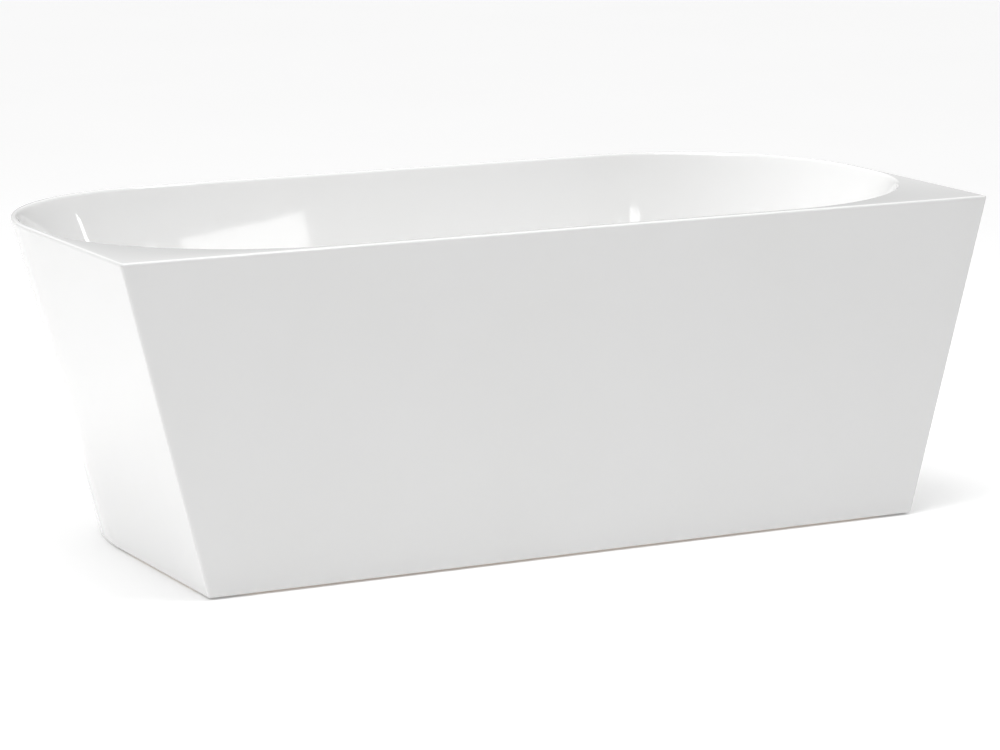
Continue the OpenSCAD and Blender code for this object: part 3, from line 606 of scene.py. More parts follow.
# %% Steel, zinc, chrome and brass
def powder_coat():
    """Near-black paint with the grain of melted powder."""
    made = finish("frame_steel", (0.018, 0.018, 0.02), 0.45)
    colour = tint(made, noise(made, 12), (0.3, (0.015, 0.015, 0.017)), (0.7, (0.026, 0.026, 0.028)))
    rough = spread(made, noise(made, 30), 0.38, 0.52)
    return dress(made, colour=colour, rough=rough, normal=relief(made, noise(made, 1500, detail=1), 0.00004))


def zinc():
    """Zinc plate, from bluish to faintly yellow, slightly mottled."""
    made = finish("zinc_steel", (0.6, 0.62, 0.65), 0.35, 1.0)
    colour = tint(made, noise(made, 90), (0.3, (0.52, 0.56, 0.62)), (0.55, (0.63, 0.64, 0.66)),
                  (0.8, (0.68, 0.65, 0.56)))
    rough = spread(made, noise(made, 260, detail=4), 0.26, 0.46)
    return dress(made, colour=colour, rough=rough, normal=relief(made, noise(made, 900), 0.00002))


def chrome():
    """Bright chrome over polished metal, with faint cloudy wear."""
    made = finish("bright_chrome", (0.72, 0.73, 0.74), 0.06, 1.0)
    colour = tint(made, noise(made, 45), (0.3, (0.68, 0.69, 0.71)), (0.7, (0.76, 0.765, 0.77)))
    rough = spread(made, noise(made, 130, detail=5), 0.03, 0.1)
    return dress(made, colour=colour, rough=rough, normal=relief(made, noise(made, 60), 0.00001))


def brass():
    """Turned brass: rings about the drain's axis, under a little tarnish."""
    made = finish("brass_works", (0.6, 0.42, 0.16), 0.25, 1.0)
    on_axis = place(made, shift=(-DRAIN.x, -DRAIN.y, 0))
    settings = {"wave_type": "RINGS", "rings_direction": "Z"}
    turned = add_node(made, "ShaderNodeTexWave", settings, {"Vector": on_axis, "Scale": 400}).outputs["Fac"]
    colour = tint(made, noise(made, 110), (0.3, (0.5, 0.33, 0.12)), (0.7, (0.66, 0.48, 0.2)))
    rough = spread(made, noise(made, 200), 0.2, 0.36)
    return dress(made, colour=colour, rough=rough, normal=relief(made, turned, 0.00002))


FINISHES.update(frame_steel=powder_coat(), zinc_steel=zinc(), bright_chrome=chrome(), brass_works=brass())
print("made frame_steel, zinc_steel, bright_chrome and brass_works")

# %% [markdown]
# ## Plastics and rubber
#
# The waste and trap are moulded in white polypropylene, the feet in black nylon, and the
# seals in rubber. All three are the same idea: a slightly uneven tone, and a fine grain
# that takes the edge off the gloss.

# %% Moulded finishes
def moulded(name, dark, light, rough, grain):
    """A moulded finish between two tones, with grain waves per metre in its surface."""
    made = finish(name, light, rough)
    colour = tint(made, noise(made, 25), (0.3, dark), (0.7, light))
    polish = spread(made, noise(made, 80), rough - 0.07, rough + 0.07)
    return dress(made, colour=colour, rough=polish, normal=relief(made, noise(made, grain), 0.00002))


FINISHES.update(
    white_plastic=moulded("white_plastic", (0.68, 0.68, 0.65), (0.74, 0.74, 0.71), 0.38, 500),
    foot_plastic=moulded("foot_plastic", (0.012, 0.012, 0.012), (0.02, 0.02, 0.021), 0.45, 900),
    black_rubber=moulded("black_rubber", (0.01, 0.01, 0.01), (0.022, 0.022, 0.022), 0.72, 1200),
)
slot_of = {part["node"]: part["material_slot"] for part in frame["record"]["subparts"]}
for node_name, node in frame["nodes"].items():
    node.data.materials.clear()
    node.data.materials.append(FINISHES[slot_of[node_name]])
print(len(FINISHES), "finishes on", len(slot_of), "nodes")


def stand_in(piece, body, *nodes):
    """Puts a new piece in place of CAD nodes: same body, same slot, same finish."""
    slot_name = slot_of[nodes[0]]
    piece.data.materials.clear()
    piece.data.materials.append(FINISHES[slot_name])
    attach(piece, body)
    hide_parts(*nodes)

# %% [markdown]
# ## Cutting the overflow's hole
#
# The overflow goes through both shells at an angle. A hole through a grid would need its
# own topology, so this is the one place where a Boolean is the right tool: a short plug
# along the wall's normal is cut out of each shell, and then thrown away.

# %% The overflow's own axes
WALL_LEAN = math.atan(SIDE_SLOPE)
OVERFLOW_HOLE = 20
OVERFLOW_DROP = 100 * MM
overflow_z = RIM_Z - OVERFLOW_DROP
overflow_y = OPEN_WALL_Y + (OPEN_Z - overflow_z) * SIDE_SLOPE
square_to_wall = Matrix.Rotation(WALL_LEAN - math.pi / 2, 4, "X")
at_overflow = Matrix.Translation((0, overflow_y, overflow_z)) @ square_to_wall
at_drain = Matrix.Translation((*DRAIN, 0))


def rounded(corners, radius, steps=5):
    """An outline whose inner corners are cut back by radius, at most 0.45 of the shorter
    side next to them, and joined by quadratic bends. The first and last corners stay."""
    p = np.array(corners, float) * MM
    before, after = p[:-2] - p[1:-1], p[2:] - p[1:-1]
    before_l, after_l = (np.linalg.norm(v, axis=1, keepdims=True) for v in (before, after))
    cut = np.minimum(radius * MM, 0.45 * np.minimum(before_l, after_l))
    t = np.linspace(0, 1, steps)[None, :, None]
    start, end = p[1:-1] + before / before_l * cut, p[1:-1] + after / after_l * cut
    arcs = bend(start[:, None], p[1:-1, None], end[:, None], t).reshape(-1, 2)
    return np.concatenate((p[:1], arcs, p[-1:]))


def turned_ring(corners, radius):
    """A closed outline: the corners are wrapped by one on each side, then rounded."""
    return rounded([corners[-1], *corners, corners[0]], radius)[1:-1]


def revolve(name, outline, axes, columns=96, poles=False, radius_at=None):
    """Carries an outline of (r, z) points round the local Z of axes. radius_at may change
    the radii: it is given (r, z, angle) and returns r."""
    angle = np.linspace(0, 2 * np.pi, columns, endpoint=False)[None, :]
    r, z = outline[:, :1] + 0 * angle, outline[:, 1:] + 0 * angle
    if radius_at:
        r = radius_at(r, z, angle + 0 * r)
    local = np.stack((r * np.cos(angle), r * np.sin(angle), z), -1)
    turned = np.array(axes.to_3x3())
    return shell(name, local @ turned.T + np.array(axes.translation), poles)


def cut_out(piece, cutter):
    """Takes the cutter out of the piece, exactly, and removes the cutter."""
    modifier = piece.modifiers.new("cut", "BOOLEAN")
    modifier.object = cutter
    modifier.solver = "EXACT"
    view = bpy.context.evaluated_depsgraph_get()
    cut_mesh = bpy.data.meshes.new_from_object(piece.evaluated_get(view))
    piece.modifiers.clear()
    whole = piece.data
    piece.data = cut_mesh
    bpy.data.meshes.remove(whole)
    bpy.data.objects.remove(cutter)


def overflow_plug():
    """A short round plug across the wall."""
    plug_line = rounded([(0, -30), (OVERFLOW_HOLE, -30), (OVERFLOW_HOLE, 12), (0, 12)], 0.1)
    return revolve("cutter", plug_line, at_overflow, poles=True)


cut_out(basin, overflow_plug())
stand_in(basin, "tub", "inner_basin")
stand_in(skirt, "tub", "outer_skirt")

# %% [markdown]
# ## The glass-fibre backing
#
# The backing hugs the underside of the basin, a little thinner than the acrylic, and ends
# in a flat face on the board. It reuses the basin's own loops at two more offsets, which
# is why the basin was written as functions of an offset.

# %% Backing
BACKING = 3 * MM
BACKING_Z, BACKING_TOP = (corner.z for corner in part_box("basin_backing"))
HAIR = 0.1 * MM
inner_gap = SHEET + HAIR
outer_gap = SHEET + BACKING
wall_z = np.linspace(FLOOR_Z + SWEEP_H, BACKING_TOP, 12)
near_sweep = sweep_loops(sweep_t, inner_gap, FLOOR_Z - inner_gap)
far_sweep = sweep_loops(sweep_t[::-1], outer_gap, BACKING_Z)
flat_floor = floor_loops(far_sweep[-1], 0)[::-1]
flat_floor[..., 2] = BACKING_Z
backing = shell("backing_shell", np.concatenate((
    floor_loops(near_sweep[0], inner_gap), near_sweep, wall_loops(wall_z[1:], inner_gap),
    wall_loops(wall_z[::-1], outer_gap)[:-1], far_sweep, flat_floor)))
cut_out(backing, overflow_plug())
stand_in(backing, "tub", "basin_backing")

# %% [markdown]
# ## The drain flange
#
# The flange is a turned part, so it is an outline carried round the drain's axis. Its edge
# clamps the basin, and its tail is threaded for the waste fitting below. The thread could
# be cut by a Boolean, but letting the radius vary with height and angle is far lighter.

# %% The drain flange
flange_r, flange_top = (flange_high.x - flange_low.x) / 2 / MM, flange_high.z / MM
tail_z = flange_low.z / MM
TAIL_R, TAIL_BORE = 24, 21
SEAT_Z, FLANGE_Z = flange_top - 3.5, flange_top - 5.5
RIM_IN = flange_r - 3
THREAD_PITCH = 2.0


def thread(low_z, high_z, root, crest):
    """A wavy screw thread: the radius dips from crest towards root as the height and the
    angle turn together, and only between two heights."""
    def radius_at(r, z, angle):
        wave = 0.5 - 0.5 * np.cos(2 * np.pi * z / (THREAD_PITCH * MM) - angle)
        on_thread = (z > low_z * MM) & (z < high_z * MM) & (np.abs(r - crest * MM) < 0.2 * MM)
        return np.where(on_thread, r - (crest - root) * MM * wave, r)
    return radius_at


tail_rows = np.linspace(tail_z + 1, FLANGE_Z - 4, 120)
tail_wall = np.stack((np.full_like(tail_rows, TAIL_R), tail_rows), -1) * MM
flange_edge = rounded([(TAIL_R, FLANGE_Z - 2), (TAIL_R, FLANGE_Z), (flange_r, FLANGE_Z),
                       (flange_r, flange_top), (RIM_IN, flange_top), (RIM_IN, SEAT_Z), (TAIL_BORE, SEAT_Z),
                       (TAIL_BORE, tail_z), (TAIL_R, tail_z), (TAIL_R, tail_z + 0.8)], 1.2)
flange = revolve("drain_flange_turned", np.concatenate((tail_wall, flange_edge)), at_drain, 128,
                 radius_at=thread(tail_z + 2, FLANGE_Z - 5, TAIL_R - 0.7, TAIL_R))
stand_in(flange, "tub", "drain_flange")

# %% [markdown]
# ## The spider
#
# Three arms reach from the flange's tail to a hub that holds the plug's cartridge. It is
# one ring too: its outer radius jumps out to the tail where an arm is. Separate arms and
# a hub would have to be joined by a Boolean.

# %% The spider that holds the cartridge
HUB_R, HUB_BORE, HUB_H = 12, 8.05, 8
SPOKE, SPOKE_EDGE = 4, 0.6


def spider_radius(r, z, angle):
    """Three arms: the outer radius reaches the tail's bore where the angle is near one of
    three directions, and drops to the hub elsewhere."""
    nearest = (angle - math.pi / 2 + math.pi / 3) % (2 * math.pi / 3) - math.pi / 3
    half_width = np.abs(np.sin(nearest)) * TAIL_BORE
    arm = np.clip((SPOKE / 2 + SPOKE_EDGE - half_width) / SPOKE_EDGE, 0, 1) * (np.cos(nearest) > 0)
    return np.where(r > (HUB_BORE + 1) * MM, mix(HUB_R * MM, (TAIL_BORE + 0.2) * MM, arm) + r - HUB_R * MM, r)


hub_top = tail_z + HUB_H
hub = turned_ring([(HUB_BORE, tail_z), (HUB_R, tail_z), (HUB_R, hub_top), (HUB_BORE, hub_top)], 0.8)
spider = revolve("drain_spider", hub, at_drain, 360, radius_at=spider_radius)
spider.data.materials.append(FINISHES["brass_works"])
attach(spider, "tub")

# %% [markdown]
# ## The plug's cap and seal
#
# The cap is slightly crowned, so that water runs off it when it is down, and its rounded
# shoulder catches a bright line. The seal under it has the CAD ring's size, with its
# corners rounded.

# %% Cap and seal
cap_low, cap_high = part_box("plug_cap")
cap_r, cap_top = (cap_high.x - cap_low.x) / 2 / MM, cap_high.z / MM
CAP_Z, BOSS_Z = cap_top - 4.5, cap_low.z / MM
CROWN = 0.5
cap_line = rounded([(0, BOSS_Z), (6, BOSS_Z), (6, CAP_Z), (cap_r, CAP_Z), (cap_r, CAP_Z + 2.4),
                    (cap_r - 5, cap_top - CROWN), (cap_r / 2, cap_top - CROWN / 4), (0, cap_top)], 2.5, 8)
cap = revolve("plug_cap_turned", cap_line, at_drain, 128, poles=True)
stand_in(cap, "plug", "plug_cap")

seal_low, seal_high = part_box("plug_seal")
seal_r = (seal_high.x - seal_low.x) / 2 / MM
seal_z0, seal_z1 = seal_low.z / MM, seal_high.z / MM
SEAL_BORE = 22
seal_corners = [(SEAL_BORE, seal_z0), (seal_r, seal_z0), (seal_r, seal_z1), (SEAL_BORE, seal_z1)]
seal_line = turned_ring(seal_corners, 0.5)
seal = revolve("plug_seal_ring", seal_line, at_drain, 128)
stand_in(seal, "plug", "plug_seal")

# %% [markdown]
# ## The overflow cover
#
# The cover is a pressed cap that stands off the wall, with a gap at its lower side where
# the water goes in. The gap follows the rim of the cover, so the lower edge of the wall is
# lifted with a function of the angle and needs no Boolean.

# %% Overflow cover
COVER_R, COVER_H, COVER_T = 33, 11, 2
GAP_LIFT, GAP_HALF = 5, math.radians(25)


def cover_outline():
    """The outline of a cap with a rounded shoulder, from its bore round both skins."""
    screw_bore = 2.1
    return turned_ring([(screw_bore, COVER_H - COVER_T), (COVER_R - 5, COVER_H - COVER_T),
                        (COVER_R - 2.5, COVER_H - 4.5), (COVER_R - 2.5, 0), (COVER_R, 0),
                        (COVER_R, COVER_H - 4), (COVER_R - 4, COVER_H), (screw_bore, COVER_H)], 2.2)


def lift_the_gap(piece):
    """Raises the cover's lower edge by up to GAP_LIFT round local +Y, fading out smoothly."""
    count = len(piece.data.vertices)
    points = np.empty(count * 3)
    piece.data.vertices.foreach_get("co", points)
    into_local = np.array(at_overflow.inverted())
    local = points.reshape(-1, 3) @ into_local[:3, :3].T + into_local[:3, 3]
    away = np.abs(np.arctan2(local[:, 0], local[:, 1]))
    lift = GAP_LIFT * MM * ease((GAP_HALF - away) / math.radians(4) + 0.5)
    reach = np.clip(1 - local[:, 2] / (6 * MM), 0, 1)
    local[:, 2] += lift * reach * (np.hypot(local[:, 0], local[:, 1]) > (COVER_R - 4) * MM)
    back = np.array(at_overflow)
    piece.data.vertices.foreach_set("co", (local @ back[:3, :3].T + back[:3, 3]).ravel())
    piece.data.update()


cover = revolve("overflow_cover_cap", cover_outline(), at_overflow, 180)
lift_the_gap(cover)
stand_in(cover, "tub", "overflow_cover")

# %% [markdown]
# ## The cover's screw
#
# The screw's head has a hexagonal socket. Inside the socket the radius follows a hexagon,
# and everywhere else the screw stays round.

# %% Its screw
SCREW_R, HEAD_R, HEAD_H = 2, 4, 2.5
SOCKET, SOCKET_DEEP = 1.5, 1.6


def hexagon(r, z, angle):
    """Inside the socket the radius follows a hexagon's side: flat distance over the cosine
    of the angle from the middle of that side."""
    from_middle = (angle + np.pi / 6) % (np.pi / 3) - np.pi / 6
    in_socket = (z > (COVER_H + HEAD_H - SOCKET_DEEP - 0.1) * MM) & (r < (SOCKET + 0.1) * MM)
    return np.where(in_socket, r / np.cos(from_middle), r)


head_top = COVER_H + HEAD_H
socket_floor = head_top - SOCKET_DEEP
screw_line = rounded([(0, -6), (SCREW_R, -6), (SCREW_R, COVER_H), (HEAD_R, COVER_H),
                      (HEAD_R - 0.4, head_top - 0.6), (SOCKET + 0.2, head_top), (SOCKET, head_top - 0.1),
                      (SOCKET, socket_floor), (0, socket_floor)], 0.6)
cover_screw = revolve("overflow_cover_screw_turned", screw_line, at_overflow, 48,
                      poles=True, radius_at=hexagon)
stand_in(cover_screw, "tub", "overflow_cover_screw")

# %% [markdown]
# ## Pipes that follow a path
#
# The overflow hose and the trap are pipes whose middle line lies in one plane. The line is
# made of straights and arcs, worked out from how far it goes and how far it turns. Every
# ring stands square to the line, so corrugations stay even round the bends.

# %% Paths and tubes
STEP = 1.0


def planar_path(start, heading, *moves):
    """Points, in mm, along moves of (length, turn in degrees), and how far along each one
    is. On each move the heading changes evenly, so a turn gives an arc."""
    counts = [max(2, round(length / STEP)) for length, _ in moves]
    step = np.concatenate([np.full(n, length / n) for n, (length, _) in zip(counts, moves)])
    bent = np.concatenate([np.full(n, math.radians(turn) / n) for n, (_, turn) in zip(counts, moves)])
    middle = math.radians(heading) + np.cumsum(bent) - bent / 2
    chord = step * np.sinc(bent / 2 / np.pi)
    walk = np.stack((chord * np.cos(middle), chord * np.sin(middle)), -1)
    points = np.concatenate(([start], np.array(start) + np.cumsum(walk, 0)))
    return points, np.concatenate(([0], np.cumsum(step)))


def pipe(name, plane, offset, path, outer, inner, columns=48):
    """A hollow pipe along a path in the plane of two axes, such as "yz", offset along the
    third. outer and inner are radii in mm, plain or one per point."""
    first, second = ("xyz".index(axis) for axis in plane)
    third = 3 - first - second
    line = np.full((len(path), 3), float(offset))
    line[:, (first, second)] = path
    ahead = np.gradient(line, axis=0)
    ahead /= np.linalg.norm(ahead, axis=1, keepdims=True)
    side = np.zeros(3)
    side[third] = 1
    across = np.cross(ahead, side)
    angle = np.linspace(0, 2 * np.pi, columns, endpoint=False)[None, :, None]
    ring = np.cos(angle) * side + np.sin(angle) * across[:, None]
    radii = (np.zeros(len(path)) + radius for radius in (outer, inner))
    outer_skin, inner_skin = (line[:, None] + ring * radius[:, None, None] for radius in radii)
    return shell(name, np.concatenate((outer_skin, inner_skin[::-1])) * MM)


print("paths advance by", STEP, "mm")

# %% [markdown]
# ## The overflow hose
#
# The hose drops behind the basin, bends once and runs to the waste fitting. Its ribs are a
# cosine along the path, which fades out before the smooth cuffs at both ends.

# %% The corrugated overflow hose
hose_low, hose_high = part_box("overflow_hose")
HOSE_R = (hose_high.x - hose_low.x) / 2 / MM
HOSE_WALL, HOSE_BEND, CUFF, RIB_PITCH, RIB_DEPTH = 2, 55, 16, 5, 1.6
hose_x = (hose_low.x + hose_high.x) / 2 / MM
hose_y, hose_top = hose_low.y / MM + HOSE_R, hose_high.z / MM
hose_z = hose_low.z / MM + HOSE_R
hose_path, hose_along = planar_path((hose_y, hose_top), -90, (hose_top - hose_z - HOSE_BEND, 0),
                                    (HOSE_BEND * math.pi / 2, 90), (hose_high.y / MM - hose_y - HOSE_BEND, 0))
from_end = np.minimum(hose_along, hose_along[-1] - hose_along)
rib = 0.5 - 0.5 * np.cos(2 * np.pi * hose_along / RIB_PITCH)
hose_dip = RIB_DEPTH * rib * ease((from_end - CUFF) / RIB_PITCH)
hose = pipe("overflow_hose_ribbed", "yz", hose_x, hose_path, HOSE_R - hose_dip, HOSE_R - HOSE_WALL)
stand_in(hose, "tub", "overflow_hose")

# %% [markdown]
# ## The trap
#
# The trap goes down from the waste fitting, turns right back up and over, and leaves
# through an elbow. It is two pipes, as on a real trap, that meet in a slip coupling.

# %% The trap and its outlet
bend_low, bend_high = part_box("trap_bend")
outlet_low, outlet_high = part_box("trap_outlet")
PIPE_R, PIPE_WALL, TRAP_BEND = 20, 2, 30
trap_y = DRAIN.y / MM
trap_turn_z = bend_low.z / MM + TRAP_BEND + PIPE_R
trap_top_z = bend_high.z / MM
crown_turn_z = outlet_high.z / MM - PIPE_R - TRAP_BEND
COLLAR_R, COLLAR_H = 23, 3
quarter_turn = TRAP_BEND * math.pi / 2
trap_path, trap_along = planar_path(
    (0, trap_top_z), -90, (trap_top_z - trap_turn_z, 0), (2 * quarter_turn, 180),
    (crown_turn_z - trap_turn_z, 0), (quarter_turn, -90), (bend_high.x / MM - 3 * TRAP_BEND, 0))
collar = (COLLAR_R - PIPE_R) * ease((COLLAR_H + 0.4 - trap_along) / 0.8)
trap = pipe("trap_bend_pipe", "xz", trap_y, trap_path, PIPE_R + collar, PIPE_R - PIPE_WALL)
stand_in(trap, "tub", "trap_bend")

outlet_x = outlet_high.x / MM - PIPE_R
outlet_path, _ = planar_path(
    (outlet_low.x / MM, crown_turn_z + TRAP_BEND), 0, (outlet_x - TRAP_BEND - outlet_low.x / MM, 0),
    (quarter_turn, -90), (crown_turn_z - outlet_low.z / MM, 0))
outlet = pipe("trap_outlet_pipe", "xz", trap_y, outlet_path, PIPE_R, PIPE_R - PIPE_WALL)
stand_in(outlet, "tub", "trap_outlet")

# %% [markdown]
# ## The spring in the plug's cartridge
#
# A spring is a helix with round wire. The wire's ring is spanned by the radial direction
# and by the direction square to both it and the helix, so that it stays round.

# %% Spring
def helix_wire(name, axes, middle_r, wire_r, low_z, high_z, turns, steps=64, sides=12):
    """A round wire along a helix: the middle line turns evenly as it climbs, and a ring of
    radius wire_r is carried along it, with a point at both ends."""
    t = np.linspace(0, 1, int(turns * steps))
    w = 2 * np.pi * turns * t
    radial = np.stack((np.cos(w), np.sin(w), 0 * w), -1)
    middle = radial * middle_r + np.stack((0 * w, 0 * w, mix(low_z, high_z, t)), -1)
    ahead = np.gradient(middle, axis=0)
    upward = np.cross(radial, ahead)
    upward /= np.linalg.norm(upward, axis=1, keepdims=True)
    q = np.linspace(0, 2 * np.pi, sides, endpoint=False)[None, :, None]
    rings = middle[:, None] + wire_r * (np.cos(q) * radial[:, None] + np.sin(q) * upward[:, None])
    first, last = (np.broadcast_to(middle[k, None], (1, sides, 3)) for k in (0, -1))
    local = np.concatenate((first, rings, last)) * MM
    return shell(name, local + np.array(axes.translation), poles=True)


spring_low, spring_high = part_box("plug_spring")
WIRE_R, SPRING_TURNS = 0.6, 4
spring_r = (spring_high.x - spring_low.x) / 2 / MM - WIRE_R
spring = helix_wire("plug_spring_wire", at_drain, spring_r, WIRE_R, spring_low.z / MM + WIRE_R,
                    spring_high.z / MM - WIRE_R, SPRING_TURNS)
stand_in(spring, "tub", "plug_spring")

# %% [markdown]
# ## The levelling feet
#
# Each foot is a threaded stud in a nylon pad. The pad is turned, with shallow grips
# pressed into its edge for a hand to hold while the lock nut is done up. The stud is one
# outline too: hexagonal at its foot and threaded above.

# %% Feet
PAD_GRIPS, GRIP_DEPTH = 12, 1.2
PAD_BORE, SOCKET_R, SOCKET_H = 6.05, 8.0, 8
STUD_R, STUD_PITCH, STUD_THREAD = 6, 1.75, 0.9
HEX_R, HEX_HALF, HEX_NECK = 7.75, 6.71, 11


def pad_outline(pad_r, pad_top, socket_z):
    """A low cone with a bore for the stud, and a socket from socket_z for its hexagon."""
    return rounded([(0, 0), (pad_r - 1, 0), (pad_r, 2), (pad_r, 6), (SOCKET_R + 5, pad_top),
                    (PAD_BORE, pad_top), (PAD_BORE, socket_z + SOCKET_H), (SOCKET_R, socket_z + SOCKET_H),
                    (SOCKET_R, socket_z), (0, socket_z)], 1.5)


def gripped(pad_r):
    """Shallow hollows round the pad's rim: a cosine of the angle, squared, on the rim only."""
    def radius_at(r, z, angle):
        on_rim = ease((r / MM - pad_r + 4) / 3)
        return r - GRIP_DEPTH * MM * on_rim * np.cos(angle * PAD_GRIPS / 2) ** 2
    return radius_at


def stud_outline(low_z, high_z):
    """A thicker foot, a shank with eight rows for each turn of the thread, and a chamfer."""
    hex_top = low_z + SOCKET_H
    rows = np.arange(low_z + HEX_NECK + 1, high_z - 2, STUD_PITCH / 8)
    hex_foot = rounded([(0, low_z), (HEX_R, low_z), (HEX_R, hex_top), (STUD_R, hex_top),
                        (STUD_R, low_z + HEX_NECK)], 0.3)
    shank = np.stack((np.full_like(rows, STUD_R), rows), -1) * MM
    tip = rounded([(STUD_R, high_z - 1.5), (STUD_R, high_z - 1), (4.8, high_z), (0, high_z)], 0.3)
    return np.concatenate((hex_foot, shank, tip))


def hexed_and_threaded(low_z, high_z):
    """A hexagon at the foot, and above it a thread that climbs one pitch a turn."""
    def radius_at(r, z, angle):
        from_middle = (angle + np.pi / 6) % (np.pi / 3) - np.pi / 6
        hexed = np.where(r > (STUD_R + 0.5) * MM, np.minimum(r, HEX_HALF * MM / np.cos(from_middle)), r)
        phase = (z / MM / STUD_PITCH - angle / (2 * np.pi)) % 1
        deep = STUD_THREAD * MM * np.abs(2 * phase - 1)
        on_shank = (z > (low_z + HEX_NECK + 1) * MM) & (z < (high_z - 2) * MM) & (r > (STUD_R - 0.1) * MM)
        return np.where(on_shank, r - deep, hexed)
    return radius_at


for foot in ("wall_left", "wall_right", "room_left", "room_right", "middle"):
    pad_low, pad_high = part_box("foot_pad_" + foot)
    stud_low, stud_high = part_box("foot_stud_" + foot)
    axes = Matrix.Translation(((pad_low.x + pad_high.x) / 2, (pad_low.y + pad_high.y) / 2, 0))
    pad_r, pad_top = (pad_high.x - pad_low.x) / 2 / MM, pad_high.z / MM
    stud_z0, stud_z1 = stud_low.z / MM, stud_high.z / MM
    pad = revolve("foot_pad_" + foot + "_nylon", pad_outline(pad_r, pad_top, stud_z0), axes, 96,
                  poles=True, radius_at=gripped(pad_r))
    stand_in(pad, "foot_" + foot, "foot_pad_" + foot)
    stud = revolve("foot_stud_" + foot + "_thread", stud_outline(stud_z0, stud_z1), axes, 48,
                   poles=True, radius_at=hexed_and_threaded(stud_z0, stud_z1))
    stand_in(stud, "foot_" + foot, "foot_stud_" + foot)

# %% [markdown]
# ## A bright floor
#
# White on white only reads when the light is uneven. The studio starts with a pale, matt
# floor that goes on far behind the bath. It glows a little, so that its far part stays
# nearly white. Only at a low angle is there a faint line where it ends.

# %% Floor
FLOOR_HALF = 60.0
FLOOR_TONE = (0.95, 0.95, 0.95)
FLOOR_GLOW = 0.22


def pale_floor():
    """A very large plane with a pale, matt, barely mottled finish."""
    corners = [(-FLOOR_HALF, -FLOOR_HALF, 0), (FLOOR_HALF, -FLOOR_HALF, 0),
               (FLOOR_HALF, FLOOR_HALF, 0), (-FLOOR_HALF, FLOOR_HALF, 0)]
    mesh = bpy.data.meshes.new("floor")
    mesh.from_pydata(corners, [], [(0, 1, 2, 3)])
    floor = bpy.data.objects.new("floor", mesh)
    scene.collection.objects.link(floor)
    made = finish("floor_paint", FLOOR_TONE, 0.9)
    shader = made.node_tree.nodes["Principled BSDF"]
    shader.inputs["Specular IOR Level"].default_value = 0.1
    shader.inputs["Emission Color"].default_value = (1, 1, 1, 1)
    shader.inputs["Emission Strength"].default_value = FLOOR_GLOW
    dress(made, colour=tint(made, noise(made, 1.5), (0.3, (0.94, 0.94, 0.94)), (0.7, FLOOR_TONE)))
    mesh.materials.append(made)
    return floor


pale_floor()
scene.view_settings.view_transform = "Standard"
print("the floor is", 2 * FLOOR_HALF, "m wide")

# %% [markdown]
# ## The room
#
# The room is a sky whose strength depends on the direction. It is darker in front of the
# bath near the horizon, which leaves the long straight side a shade below the ends and
# the rim. An even sky would be simpler, but the bath would lose its edges.

# %% Surroundings
ZENITH, HORIZON = 1.25, 0.42
FRONT_SHARE, BACK_SHARE = -1.5, 1.42
LEFT_GAIN = 0.22


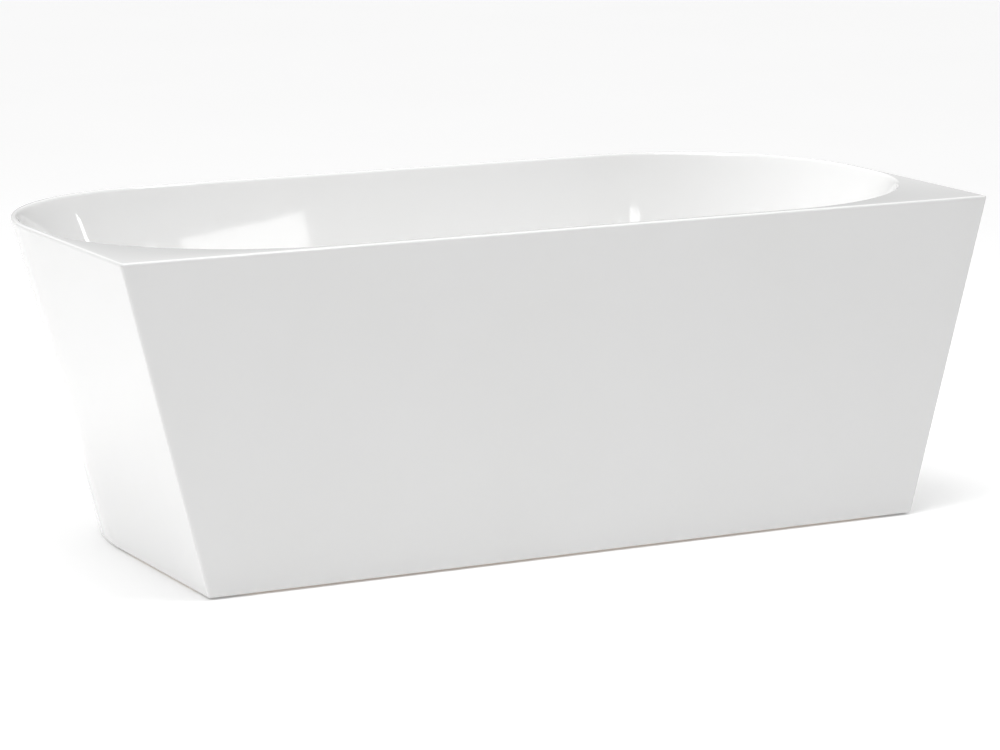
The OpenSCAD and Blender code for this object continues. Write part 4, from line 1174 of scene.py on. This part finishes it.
def pale_room():
    """A sky that brightens upwards and a little to the left. Near the horizon it is dim in
    front of the bath and bright behind it. Seen directly, all of it is white."""
    world = bpy.data.worlds.new("room")
    world.use_nodes = True
    scene.world = world
    direction = add_node(world, "ShaderNodeTexCoord").outputs["Generated"]
    parts = add_node(world, "ShaderNodeSeparateXYZ", inputs={"Vector": direction}).outputs
    height = spread(world, parts["Z"], HORIZON, ZENITH, 0.1, 0.8)
    side = spread(world, parts["X"], LEFT_GAIN, -LEFT_GAIN, -1.0, 1.0)
    depth = spread(world, parts["Y"], FRONT_SHARE - 1, BACK_SHARE - 1, -1.0, 1.0)
    low = spread(world, parts["Z"], 1.0, 0.0, 0.0, 1.0)
    share = calculate(world, "MULTIPLY_ADD", depth, low, 1.0)
    lit = calculate(world, "MULTIPLY_ADD", height, share, side)
    seen = add_node(world, "ShaderNodeLightPath").outputs["Is Camera Ray"]
    strength = calculate(world, "MAXIMUM", lit, seen)
    backdrop = world.node_tree.nodes["Background"]
    world.node_tree.links.new(strength, backdrop.inputs["Strength"])
    backdrop.inputs["Color"].default_value = (1, 1, 1, 1)


pale_room()
print("the sky goes from", HORIZON, "at the horizon to", ZENITH, "overhead")

# %% [markdown]
# ## Soft boxes
#
# Three large soft boxes shape the bath: one at its left end, one over the basin and a weak
# one at the front left corner. Three small ones only leave their reflections on the
# inside walls and the rim, where a gloss finish has to show something bright. One strong
# lamp would be simpler, but its shadow would be too hard.

# %% Soft boxes
def soft_box(name, place_at, aim_at, size, power, roll=0.0, fan=180):
    """A rectangular soft light at place_at that faces aim_at, rolled by degrees about its
    own axis. Its light fans out over fan degrees. It isn't seen directly."""
    lamp = bpy.data.lights.new(name, "AREA")
    lamp.shape = "RECTANGLE"
    lamp.size, lamp.size_y = size
    lamp.energy = power
    lamp.spread = math.radians(fan)
    light = bpy.data.objects.new(name, lamp)
    scene.collection.objects.link(light)
    aim = Vector(aim_at) - Vector(place_at)
    facing = aim.to_track_quat("-Z", "Y").to_matrix().to_4x4() @ Matrix.Rotation(math.radians(roll), 4, "Z")
    light.matrix_world = Matrix.Translation(place_at) @ facing
    light.visible_camera = False
    print(name, power, "W")


# The large boxes.
soft_box("left_window", (-5.0, 0.4, 0.6), (0, 0, 0.3), (3.0, 1.1), 12)
soft_box("over_basin", (-0.1, -0.7, 3.1), (0, 0.2, 0.4), (1.8, 1.0), 19, fan=120)
soft_box("front_left_box", (-2.2, -2.6, 0.8), (-0.8, -0.4, 0.3), (1.2, 0.8), 2.4)
# The small ones, for the reflections.
soft_box("high_window", (1.74, -4.0, 2.04), (-0.3, 0.36, 0.48), (0.4, 0.13), 0.55)
soft_box("long_window", (0.95, -4.0, 2.28), (0.53, 0.35, 0.47), (0.6, 0.1), 0.8, -12)
soft_box("right_strip", (3.07, -0.58, 1.53), (-0.61, 0.34, 0.51), (0.16, 0.26), 1.2)
